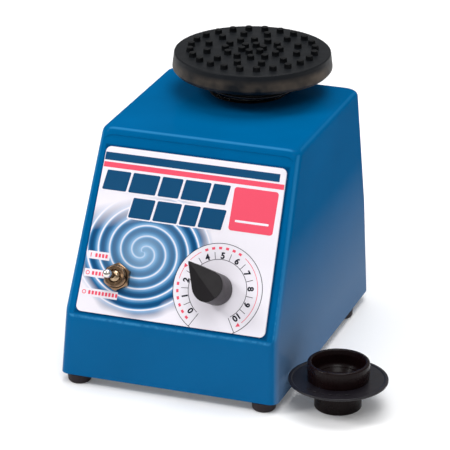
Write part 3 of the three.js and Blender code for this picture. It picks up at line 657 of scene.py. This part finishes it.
def casing_levels(inset, low):
    radius = max(EDGE_R - inset, 0.8)
    top = TOP_Z - inset
    bends = [z + BEND_BLEND * k / 3 for z in (FRONT_BEND[0], BACK_BEND[0]) for k in range(-3, 4)]
    arc = [top - radius + radius * math.sin(math.radians(a)) for a in range(-30, 91, 10)]
    return [low, *bends, *arc]


def skin(inset, low):
    """A closed solid over level sections, from low up to the flat top."""
    bm = bmesh.new()
    rings = []
    for z in casing_levels(inset, low):
        rings.append([bm.verts.new((x, y, z)) for x, y in casing_section(z, inset)])
    for ring, above in zip(rings, rings[1:]):
        for i in range(len(ring)):
            j = (i + 1) % len(ring)
            bm.faces.new([ring[i], ring[j], above[j], above[i]])
    bm.faces.new(rings[-1])
    bm.faces.new(list(reversed(rings[0])))
    bmesh.ops.recalc_face_normals(bm, faces=bm.faces)
    return bm


def rod(radius, low, high, segments=48):
    return turned([(0, low), (radius, low), (radius, high), (0, high)], segments)


def block(low, high):
    return prism(rectangle(low[0], high[0], low[1], high[1]), low[2], high[2])


def label_outline(margin=0.0, margin_low=0.0, margin_high=0.0):
    """The label's outline, grown by these margins at its sides, below and above."""
    radius = 3 + margin
    low, high = LABEL_LOW - margin_low, LABEL_HIGH + margin_high
    half_low, half_high = HALF_LOW + margin, HALF_HIGH + margin
    return rounded([(LABEL_X - half_low, low, radius), (LABEL_X + half_low, low, radius),
                    (LABEL_X + half_high, high, radius), (LABEL_X - half_high, high, radius)], 8)


def recess_tool():
    """What is cut from the slope round the label: a shallow recess whose walls slope at 45 degrees."""
    bm = bmesh.new()
    rings = []
    for z in (-RECESS_DEPTH, RECESS_DEPTH):
        outline = label_outline(RECESS + z, RECESS_LOW + z, RECESS_HIGH + z)
        rings.append([bm.verts.new((x, y, z)) for x, y in outline])
    for i in range(len(rings[0])):
        bm.faces.new([rings[0][i - 1], rings[0][i], rings[1][i], rings[1][i - 1]])
    bm.faces.new(rings[1])
    bm.faces.new(list(reversed(rings[0])))
    bmesh.ops.recalc_face_normals(bm, faces=bm.faces)
    return bm


TOP_HOLE_R = 20.2
TOGGLE_HOLE_R = 6.2
DIAL_HOLE_R = 5
THROUGH = (-8, 3)  # low and high end of a hole cut through the panel


def make_casing():
    inlet_low, inlet_high = low_mm("inlet_body"), high_mm("inlet_body")
    lap_x, lap_z = 3.1, 1.9  # how far the inlet's bezel laps over the edge of its hole
    inlet_hole = block((inlet_low.x + lap_x, HALF_DEPTH - 8, inlet_low.z + lap_z),
                       (inlet_high.x - lap_x, HALF_DEPTH + 2, inlet_high.z - lap_z))
    tools = [skin(WALL, RIM_Z - 1), moved(rod(TOP_HOLE_R, TOP_Z - 6, TOP_Z + 1, 72), SHAFT),
             moved(rod(TOGGLE_HOLE_R, *THROUGH), TOGGLE), moved(rod(DIAL_HOLE_R, *THROUGH), DIAL),
             inlet_hole, moved(recess_tool(), DIAL)]
    bm = carved(skin(0, RIM_Z), tools)
    piece("casing", bm, LOOKS["housing_paint"], cad=["housing"])


make_casing()


# -------------------- control panel film and print
FILM_OUT = -0.45  # underside of the film, in the recess round it
FILM_FACE = 0.8
PRINT = 0.04  # thickness of one layer of print


def layer(outline, number=1):
    """A patch of print whose face lies number layers above the film."""
    return prism(outline, FILM_FACE, FILM_FACE + PRINT * number)


def film_half(y):
    """Half the film's width at height y on the panel."""
    return HALF_LOW + (HALF_HIGH - HALF_LOW) * (y - LABEL_LOW) / (LABEL_HIGH - LABEL_LOW)


def stripe(low, high, left, right):
    """A stripe across the film, which stops short of its left and right edges by those distances."""
    corners = [(LABEL_X - film_half(low) + left, low), (LABEL_X + film_half(low) - right, low),
               (LABEL_X + film_half(high) - right, high), (LABEL_X - film_half(high) + left, high)]
    return layer(corners)


def leaning_blocks(left, low, high, widths, grow=0.0, number=3):
    """A row of plain leaning blocks, each grown all round by grow."""
    gap, lean = 1.3, 1.6
    row = []
    for width in widths:
        corners = [(left - grow, low - grow, 0.6), (left + width + grow, low - grow, 0.6),
                   (left + width + lean + grow, high + grow, 0.6), (left + lean - grow, high + grow, 0.6)]
        row.append(layer(rounded(corners, 2), number))
        left += width + gap
    return row


def make_film():
    film = prism(label_outline(), FILM_OUT, FILM_FACE, 0.12, 2)
    to_toggle = DIAL.inverted() @ TOGGLE
    holes = [rod(DIAL_HOLE_R, -2, 2), moved(rod(TOGGLE_HOLE_R, -2, 2), to_toggle)]
    piece("panel_film", carved(film, holes), LOOKS["label_print"], DIAL, cad=["label_plate"])


# left end, low and high edge, and the width of each block
TITLE_ROWS = [(-72.6, 44.4, 55.0, [13.5, 15.2, 11.6, 14.4, 9.4]),
              (-55.6, 31.1, 41.9, [12.4, 13.6, 9.2, 13.0])]
SWITCH_ROWS = [(9.0, 12.5), (-0.6, 13.4), (-10.9, 20.8)]  # middle height and length of each white strip
DASH = 1.25  # length of a red dash on those strips
DASH_STEP = 1.9
RED_BOX = (0.4, 24.8, 31.8, 54.8)  # left, right, low and high edge
BOX_LINE = (3.4, 22.0, 36.4, 37.6)


def switch_mark(x, y, is_on):
    """The plain mark of a switch position: a bar for on, a ring for the others."""
    if is_on:
        return layer(rectangle(x - 0.25, x + 0.25, y - 1.1, y + 1.1), 3)
    return moved(band(0.75, 1.15, 0, 359.9, FILM_FACE, FILM_FACE + 3 * PRINT, 24), at(x, y))


def make_print():
    white = [layer(rectangle(*BOX_LINE, 0.5), 3)]
    blue = [stripe(LABEL_HIGH - 7.4, LABEL_HIGH - 3.2, 0.3, 3.2)]
    red = [stripe(LABEL_HIGH - 11.2, LABEL_HIGH - 8.4, 0.3, 0.3), layer(rectangle(*RED_BOX, 1.6), 2)]
    for left, low, high, widths in TITLE_ROWS:
        white += leaning_blocks(left, low, high, widths, grow=0.7, number=2)
        blue += leaning_blocks(left, low, high, widths)
    for y, reach in SWITCH_ROWS:
        left = LABEL_X - film_half(y) + 1.0
        white.append(layer(rectangle(left, left + reach, y - 2.1, y + 2.1, 0.3), 2))
        red.append(switch_mark(left + 1.9, y, is_on=(y, reach) == SWITCH_ROWS[0]))
        for k in range(round((reach - 4.6) / DASH_STEP)):
            x = left + 4.3 + DASH_STEP * k
            red.append(layer(rectangle(x, x + DASH, y - 1.0, y + 1.0, 0.2, 2), 3))
    piece("print_white", joined(white), LOOKS["ink_white"], DIAL)
    piece("print_blue", joined(blue), LOOKS["ink_blue"], DIAL)
    piece("print_red", joined(red + dial_red()), LOOKS["ink_red"], DIAL)


DIAL_R = 24.6  # outer line of the scale
INNER_R = 16.0  # inner line
TICK_R = 19.9  # outer end of the short lines
DIAL_END = 151  # clock angle where the scale's frame ends, on both sides
STEP = 27  # degrees between numbers
LINE = 0.3  # thickness of a line
RED_R = 22  # middle of the red dashes and arcs round the scale


def dial_outline():
    """The dial's round field, cut straight by the film's lower edge."""
    foot = LABEL_LOW + 0.25
    end = 180 - math.degrees(math.acos(-foot / DIAL_R))
    return arc_points(DIAL_R, -end, end, 96)


def spoke(angle, inner, outer):
    """A straight line of the scale, between two radii."""
    a = math.radians(angle)
    along = Vector((math.sin(a), math.cos(a)))
    aside = Vector((along.y, -along.x)) * LINE / 2
    corners = [along * inner - aside, along * inner + aside, along * outer + aside, along * outer - aside]
    return layer([tuple(c) for c in corners], 3)


def dial_red():
    """Plain red dashes round the scale, and three thin arcs, two of them with arrowheads."""
    face, top = FILM_FACE, FILM_FACE + 3 * PRINT
    dashes = [a for a in range(-139, -88, 10)] + [a for a in range(-25, 26, 10)]
    arcs = [(-82, -66), (-52, -33), (34, 134)]
    made = [band(RED_R - 0.7, RED_R + 0.6, a - 2.2, a + 2.2, face, top, 4) for a in dashes]
    made += [band(RED_R - 0.2, RED_R + 0.1, a, b, face, top, 48) for a, b in arcs]
    for a in (-62, 140):
        tip = arc_points(RED_R, a + 4 * math.copysign(1, a), a + 4, 1)[0]
        base = [arc_points(r, a - 2 * math.copysign(1, a), a, 1)[0] for r in (RED_R - 1.2, RED_R + 1.1)]
        made.append(layer([tip, *base], 3))
    return made


BOLDER = 0.2  # how far each number's outline is grown
NUMBER_R = 17.9
NUMBER_TALL = 4.5


def numeral(text, angle):
    """A bold number that stands on the scale with its head outwards."""
    curve = bpy.data.curves.new("numeral", "FONT")
    curve.body = text
    curve.size = NUMBER_TALL
    curve.bevel_depth = BOLDER
    curve.bevel_resolution = 0
    curve.align_x = "CENTER"
    curve.align_y = "CENTER"
    holder = bpy.data.objects.new("numeral", curve)
    scene.collection.objects.link(holder)
    shape = bpy.data.meshes.new_from_object(holder.evaluated_get(bpy.context.evaluated_depsgraph_get()))
    bm = bmesh.new()
    bm.from_mesh(shape)
    bmesh.ops.remove_doubles(bm, verts=bm.verts, dist=0.001)
    bpy.data.meshes.remove(shape)
    bpy.data.curves.remove(curve)
    flat = Matrix.Diagonal((1, 1, PRINT / BOLDER, 1))
    return moved(bm, turn(-angle) @ at(0, NUMBER_R, FILM_FACE + 2.5 * PRINT) @ flat)


def make_dial():
    field = carved(layer(dial_outline(), 2), [rod(DIAL_HOLE_R, FILM_FACE - 1, FILM_FACE + 1)])
    piece("dial_field", field, LOOKS["ink_white"], DIAL)
    face, top = FILM_FACE, FILM_FACE + 3 * PRINT
    lines = [band(INNER_R - LINE / 2, INNER_R + LINE / 2, -DIAL_END + 6, DIAL_END - 6, face, top, 96),
             band(DIAL_R - LINE, DIAL_R, -DIAL_END, DIAL_END, face, top, 120)]
    lines += [spoke(STEP * (k - 4.5), INNER_R, TICK_R) for k in range(10)]
    lines += [spoke(side * (DIAL_END - 2), INNER_R, DIAL_R) for side in (-1, 1)]
    piece("dial_lines", joined(lines), LOOKS["ink_dark"], DIAL)
    numbers = [numeral(str(k), STEP * (k - 5)) for k in range(11)]
    piece("dial_numbers", joined(numbers), LOOKS["ink_dark"], DIAL)


make_film()
make_print()
make_dial()


# -------------------- speed knob
def cut_above(bm, point, normal):
    """Cuts away what lies beyond a plane and closes the cut."""
    everything = bm.verts[:] + bm.edges[:] + bm.faces[:]
    made = bmesh.ops.bisect_plane(bm, geom=everything, plane_co=point, plane_no=normal, clear_outer=True)
    rim = [e for e in made["geom_cut"] if isinstance(e, bmesh.types.BMEdge)]
    bmesh.ops.contextual_create(bm, geom=rim)


def make_knob():
    tangent = math.degrees(math.acos(KNOB_R / KNOB_TIP))
    back = arc_points(KNOB_R, tangent, 360 - tangent, 64)
    blunt_x, blunt_y = 0.35, KNOB_TIP - 0.9
    bm = prism([(blunt_x, blunt_y), *back, (-blunt_x, blunt_y)], KNOB_LOW, KNOB_TALL)
    for side in (-1, 1):
        cut_above(bm, (0, 0, KNOB_TALL), Vector((side * GABLE, 0, 1)).normalized())
    bmesh.ops.recalc_face_normals(bm, faces=bm.faces)
    hollow, shaft_bore = rod(7, 0, 6), rod(3.3, 5, 14.2, 32)
    bm = carved(soften(bm, 0.3, 3, least=18), [hollow, shaft_bore])
    piece("pointer_knob", bm, LOOKS["knob_plastic"], DIAL @ turn(KNOB_TURN), "knob",
          ["speed_knob"])


make_knob()


# -------------------- toggle switch
def threaded(radius, low, high, pitch=0.7, depth=0.22):
    """The outline of a threaded barrel, from low to high."""
    turns = round((high - low) / pitch)
    points = []
    for k in range(turns):
        z = low + pitch * k
        points += [(radius, z), (radius, z + 0.2 * pitch), (radius - depth, z + 0.55 * pitch)]
    return points + [(radius, low + pitch * turns)]


def make_toggle():
    nickel = LOOKS["toggle_nickel"]
    nut_low, nut_top, nut_r = FILM_FACE + 0.3, FILM_FACE + 3.5, 7.7
    corners = [(x, y, 0.3) for x, y in arc_points(nut_r, 0, 300, 5)]
    chamfer = turned([(0, nut_low - 1), (nut_r - 0.2, nut_low - 1), (nut_r - 0.2, nut_top - 0.9),
                      (nut_r - 1.6, nut_top + 0.1), (0, nut_top + 0.1)])
    nut = carved(prism(rounded(corners, 2), nut_low, nut_top, 0.12, 2), [chamfer], "INTERSECT")
    nut = carved(nut, [rod(TOGGLE_HOLE_R, -1, 9, 64)])
    piece("toggle_hex_nut", nut, nickel, TOGGLE, cad=["toggle_nut"])
    mouth = rounded([(5.6, 7.0), (5.4, 7.5, 0.25), (3.6, 7.5, 0.2), (3.5, 7.0), (4.2, 6.5), (4.2, -2.9)])
    barrel = [(5.8, -2.65), *threaded(5.8, -2.4, 6.7), *mouth, (8, -2.9), (8, -2.65)]
    piece("toggle_barrel", turned(barrel, 64), nickel, TOGGLE, cad=["toggle_bushing"])
    ball_r, pivot = 3.8, LEVER_PIVOT_OUT
    angles = [math.radians(a) for a in range(-66, 67, 6)]
    ball = [(ball_r * math.cos(a), pivot + ball_r * math.sin(a)) for a in angles]
    neck_r, neck_z = ball[-1]
    base = [(0, -2), (1.2, -2), (1.2, pivot - ball_r + 0.4), *ball, (0, neck_z)]
    bat = rounded([(0, neck_z - 0.4), (neck_r, neck_z - 0.4), (1.65, neck_z + 0.5, 0.6), (2.3, 18, 4),
                   (2.2, 20.7, 1.9), (0, 20.8)], 8)
    piece("toggle_bat", turned(bat, 48), LOOKS["lever_chrome"], TOGGLE, "toggle",
          ["toggle_lever"])
    piece("toggle_ball", turned(base, 48), LOOKS["ball_nickel"], TOGGLE, "toggle")


make_toggle()


# -------------------- platform head
PAD_TOP = TOP_Z + 23.5  # the pad's upper face, below the tips of its studs
PAD_LOW = low_mm("platform_pad").z
PAD_R = (high_mm("platform_pad").x - low_mm("platform_pad").x) / 2
PAD_TOP_R = PAD_R - 1.1
STUD_R = 2.1
STUD_TALL = high_mm("platform_pad").z - PAD_TOP
# number of studs, their distance from the middle as a share of the radius, and the first one's angle
STUD_RINGS = [(6, 0.14, 30), (12, 0.35, 15), (12, 0.59, 0), (24, 0.8, 7.5)]
FLANGE_Z = 132.6  # underside of the splash flange
FLANGE_R = (high_mm("platform_hub").x - low_mm("platform_hub").x) / 2
STEM_R = 12.5
STEM_LOW = low_mm("platform_hub").z


def make_platform():
    profile = rounded([(0, PAD_LOW), (PAD_R - 6, PAD_LOW), (PAD_R - 5.4, PAD_LOW + 0.5, 0.3),
                       (PAD_R - 2, PAD_LOW + 0.2, 1), (PAD_R, PAD_LOW + 2.4, 1.6),
                       (PAD_TOP_R, PAD_TOP, 0.9), (0, PAD_TOP)], 6)
    disc = turned(profile, 144)
    stud = rounded([(0, PAD_TOP - 0.6), (STUD_R, PAD_TOP - 0.6), (STUD_R - 0.15, PAD_TOP + STUD_TALL, 0.45),
                    (0, PAD_TOP + STUD_TALL)], 4)
    studs = [moved(turned(stud, 20), turn(start + 360 * k / count) @ at(share * PAD_TOP_R))
             for count, share, start in STUD_RINGS for k in range(count)]
    bm = carved(disc, [joined(studs)], "UNION")
    piece("studded_pad", bm, LOOKS["pad_rubber"], HEAD, "platform", ["platform_pad"])
    hub = rounded([(0, STEM_LOW), (STEM_R, STEM_LOW, 0.9), (STEM_R, FLANGE_Z, 0.8), (FLANGE_R, FLANGE_Z, 0.6),
                   (FLANGE_R, FLANGE_Z + 1.4, 0.6), (19.4, FLANGE_Z + 2.2, 1.2), (18, FLANGE_Z + 4.4, 1.5),
                   (19.5, PAD_LOW - 0.3, 0.4), (0, PAD_LOW - 0.3)], 6)
    piece("splash_flange", turned(hub, 96), LOOKS["hub_rubber"], HEAD, "platform",
          ["platform_hub"])
    lip, foot, bore_r, neck_r = TOP_Z + 0.7, TOP_Z - 4, 18.4, TOP_HOLE_R - 0.3
    seal = rounded([(bore_r, foot, 0.3), (21.8, foot, 0.3), (21.8, foot + 1.1, 0.3), (neck_r, foot + 1.1),
                    (neck_r, TOP_Z + 0.3), (21.6, TOP_Z + 0.3), (21.4, lip, 0.25), (bore_r, lip, 0.5)], 4)
    piece("shaft_seal", turned(seal, 96), LOOKS["head_rubber"], SHAFT, cad=["top_grommet"])


make_platform()


# -------------------- spare cup head
MARK_ANGLES = [*range(60, 121, 12), *range(240, 301, 12)]


def spoke_mark(angle, radius, low):
    """A small raised moulding mark on the flange."""
    mark = prism(rectangle(-0.5, 0.5, -1.1, 1.1, 0.3, 3), low, low + 0.45, 0.1, 1)
    return moved(mark, turn(angle) @ at(radius))


def make_spare_cup():
    top = high_mm("spare_cup").z
    flange_r = (high_mm("spare_cup").x - low_mm("spare_cup").x) / 2
    flange_z = 15.1
    cup_r = 16.6
    core_r = 14.0  # the stem's end inside the flange
    plate_r = STEM_R + 0.2  # the flange's inner edge
    stem = rounded([(0, 0), (STEM_R, 0, 0.9), (STEM_R, flange_z - 0.4, 0.6), (core_r, flange_z - 0.4),
                    (core_r, flange_z + 2), (0, flange_z + 2)], 6)
    plate = rounded([(plate_r, flange_z - 0.3), (flange_r, flange_z - 0.1, 0.35),
                     (flange_r, flange_z + 1.1, 0.35), (flange_r - 1.6, flange_z + 1.15, 0.2),
                     (flange_r - 2.1, flange_z + 0.9, 0.2), (16, flange_z + 1.2, 0.2),
                     (plate_r, flange_z + 1.4)], 4)
    bowl = rounded([(0, flange_z - 0.2), (16.0, flange_z - 0.2), (cup_r - 0.4, flange_z + 1.4, 0.6),
                    (cup_r, top - 2.4, 0.6), (cup_r - 0.2, top, 0.9), (cup_r - 2.2, top, 0.8),
                    (cup_r - 3, top - 2.6, 1.5), (cup_r - 3.2, 18.4, 3), (9, 13.4, 8), (0, 11.4)], 6)
    cone = turned([(0, 11.4), (9, 13.4), (12, 16), (12, flange_z + 4), (0, flange_z + 4)], 64)
    stem = carved(turned(stem, 72), [cone])
    marks = [spoke_mark(a, flange_r - 5.2, flange_z + 1.0) for a in MARK_ANGLES]
    rubber = LOOKS["head_rubber"]
    piece("spare_stem", stem, rubber, SPARE, "spare_head", ["spare_cup"])
    piece("spare_bowl", turned(bowl, 96), rubber, SPARE, "spare_head")
    flange = joined([turned(plate, 112), *marks])
    piece("spare_flange", flange, LOOKS["cup_flange"], SPARE, "spare_head")


make_spare_cup()


# -------------------- feet
def make_foot(name):
    low, high = low_mm(name), high_mm(name)
    outer = (high.x - low.x) / 2
    bore_r, well_r, well_z = 2.1, 3.6, low.z + 3.4
    profile = rounded([(bore_r, well_z), (well_r, well_z, 0.3), (well_r, low.z, 0.3),
                       (outer - 1.2, low.z, 0.5), (outer - 0.5, low.z + 0.9, 0.4), (outer, high.z, 0.3),
                       (bore_r, high.z)], 4)
    piece(f"rubber_{name}", turned(profile, 48), LOOKS["foot_rubber"],
          at(*middle_mm(name).xy), cad=[name])


for foot_name in FEET:
    make_foot(foot_name)


# -------------------- power inlet
def make_inlet():
    """A three-pin inlet: a rounded bezel and a deep socket with two cut-off corners."""
    low, high = low_mm("inlet_body"), high_mm("inlet_body")
    middle = middle_mm("inlet_body")
    place = at(middle.x, high.y, middle.z) @ turn(90, "X")
    half_w, half_h = (high.x - low.x) / 2, (high.z - low.z) / 2
    depth = high.y - low.y
    body_w, body_h = half_w - 3.4, half_h - 2.2
    bezel = prism(rectangle(-half_w, half_w, -half_h, half_h, 2.2), 0, 1.9, 0.5, 3)
    body = prism(rectangle(-body_w, body_w, -body_h, body_h, 1.0), 1.5, depth, 0.3, 2)
    side, cut_side, level, cut_level = 12, 8.4, 8, 4
    mouth = [(-side, -level), (side, -level), (side, cut_level), (cut_side, level), (-cut_side, level),
             (-side, cut_level)]
    socket = prism(rounded([(x, y, 0.8) for x, y in mouth], 4), -1, 15)
    pin_z = middle_mm("inlet_pin_earth").z - middle.z
    holes = [moved(block((-1.3, -2.3, 14), (1.3, 2.3, depth + 1)), at(x, pin_z)) for x in (-7, 0, 7)]
    bm = carved(carved(bezel, [body], "UNION"), [socket, *holes])
    piece("inlet_socket", bm, LOOKS["black_plastic"], place, cad=["inlet_body"])


make_inlet()


# -------------------- spring under the shaft
def coil(radius, wire, low, high, turns):
    """A round wire wound about Z, with its middle line from low to high."""
    steps, sides = 32 * turns, 10
    angles = [math.tau * i / sides for i in range(sides)]
    around = [(radius + wire * math.cos(a), wire * math.sin(a)) for a in angles]
    bm = bmesh.new()
    rings = []
    for k in range(steps + 1):
        a = math.tau * turns * k / steps
        z = low + (high - low) * k / steps
        rings.append([bm.verts.new((r * math.cos(a), r * math.sin(a), z + rise)) for r, rise in around])
    for ring, ahead in zip(rings, rings[1:]):
        for i in range(sides):
            bm.faces.new([ring[i], ring[i - 1], ahead[i - 1], ahead[i]])
    for ring in (rings[0], rings[-1]):
        bm.faces.new(ring)
    bmesh.ops.recalc_face_normals(bm, faces=bm.faces)
    return bm


def make_spring():
    low, high = low_mm("return_spring"), high_mm("return_spring")
    centre = middle_mm("return_spring")
    wire = 0.38  # half the wire's thickness
    bm = coil(high.x - centre.x - wire, wire, low.z + wire, high.z - wire, 3)
    made = piece("return_coil", bm, LOOKS["screw_steel"], at(*centre.xy),
                 cad=["return_spring"])
    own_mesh(made)


make_spring()


# -------------------- CAD pieces that keep their shape
replaced = {name for made in scene.objects for name in made.get("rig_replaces", [])}
for row in frame["record"]["subparts"]:
    if row["node"] in replaced:
        continue
    kept = frame["nodes"][row["node"]]
    kept.data.materials.clear()
    kept.data.materials.append(LOOKS[row["material_slot"]])
    edges = kept.modifiers.new("soft_edges", "BEVEL")
    edges.width = 0.15 * MM
    edges.segments = 2
    edges.limit_method = "ANGLE"
    edges.angle_limit = math.radians(40)


# -------------------- floor, light and camera
def make_floor():
    look = finish("studio_floor", (0.93, 0.93, 0.935, 1), 0.6, mottle=(900, 0.01), grain=(3, 0.01),
                  Specular_IOR_Level=0.2, Emission_Color=(1, 1, 1, 1), Emission_Strength=0.08)
    bm = bmesh.new()
    bmesh.ops.create_grid(bm, x_segments=8, y_segments=8, size=20.0)
    bmesh.ops.translate(bm, verts=bm.verts, vec=(0, 0, -0.1 * MM))
    mesh = bpy.data.meshes.new("floor")
    bm.to_mesh(mesh)
    bm.free()
    mesh.materials.append(look)
    floor = bpy.data.objects.new("floor", mesh)
    scene.collection.objects.link(floor)


def softbox(name, place, size, power):
    """A square soft light that faces the mixer."""
    lamp = bpy.data.lights.new(name, "AREA")
    lamp.size = size
    lamp.energy = power
    holder = bpy.data.objects.new(name, lamp)
    holder.location = place
    aim = Vector((0, 0, 0.07)) - Vector(place)
    holder.rotation_euler = aim.to_track_quat("-Z", "Y").to_euler()
    scene.collection.objects.link(holder)


def make_world():
    world = bpy.data.worlds.new("studio")
    world.use_nodes = True
    scene.world = world
    background = world.node_tree.nodes["Background"]
    up = world.node_tree.nodes.new("ShaderNodeTexCoord")
    parts = world.node_tree.nodes.new("ShaderNodeSeparateXYZ")
    shades = world.node_tree.nodes.new("ShaderNodeValToRGB")
    world.node_tree.links.new(up.outputs["Generated"], parts.inputs["Vector"])
    world.node_tree.links.new(parts.outputs["Z"], shades.inputs["Fac"])
    world.node_tree.links.new(shades.outputs["Color"], background.inputs["Color"])
    shades.color_ramp.elements[0].color = (0.35, 0.35, 0.36, 1)
    shades.color_ramp.elements[1].color = (1, 1, 1, 1)
    background.inputs["Strength"].default_value = 0.62


AIM = Vector((3.1, 0.27, 67.711)) * MM
AZIMUTH = 19.384  # degrees round to the mixer's right, from straight in front
ELEVATION = 22.212
DISTANCE = 1.608118  # metres
ROLL = 0.268
ANGLE_OF_VIEW = 8.695


def make_camera():
    lens = bpy.data.cameras.new("photo_view")
    lens.sensor_width = 36
    lens.lens = lens.sensor_width / 2 / math.tan(math.radians(ANGLE_OF_VIEW / 2))
    lens.clip_end = 30
    holder = bpy.data.objects.new("photo_view", lens)
    a, e = math.radians(AZIMUTH), math.radians(ELEVATION)
    back = Vector((math.sin(a) * math.cos(e), -math.cos(a) * math.cos(e), math.sin(e)))
    look = (-back).to_track_quat("-Z", "Y").to_matrix().to_4x4()
    holder.matrix_world = Matrix.Translation(AIM + back * DISTANCE) @ look @ turn(ROLL)
    scene.collection.objects.link(holder)
    scene.camera = holder


make_floor()
make_world()
make_camera()
softbox("key_light", (0.7, -1.3, 2.1), 1.1, 18)
softbox("top_light", (0.1, 0.5, 2.2), 1.4, 25)
softbox("left_light", (-1.6, -1.1, 1.7), 0.7, 22)
scene.view_settings.view_transform = "Standard"
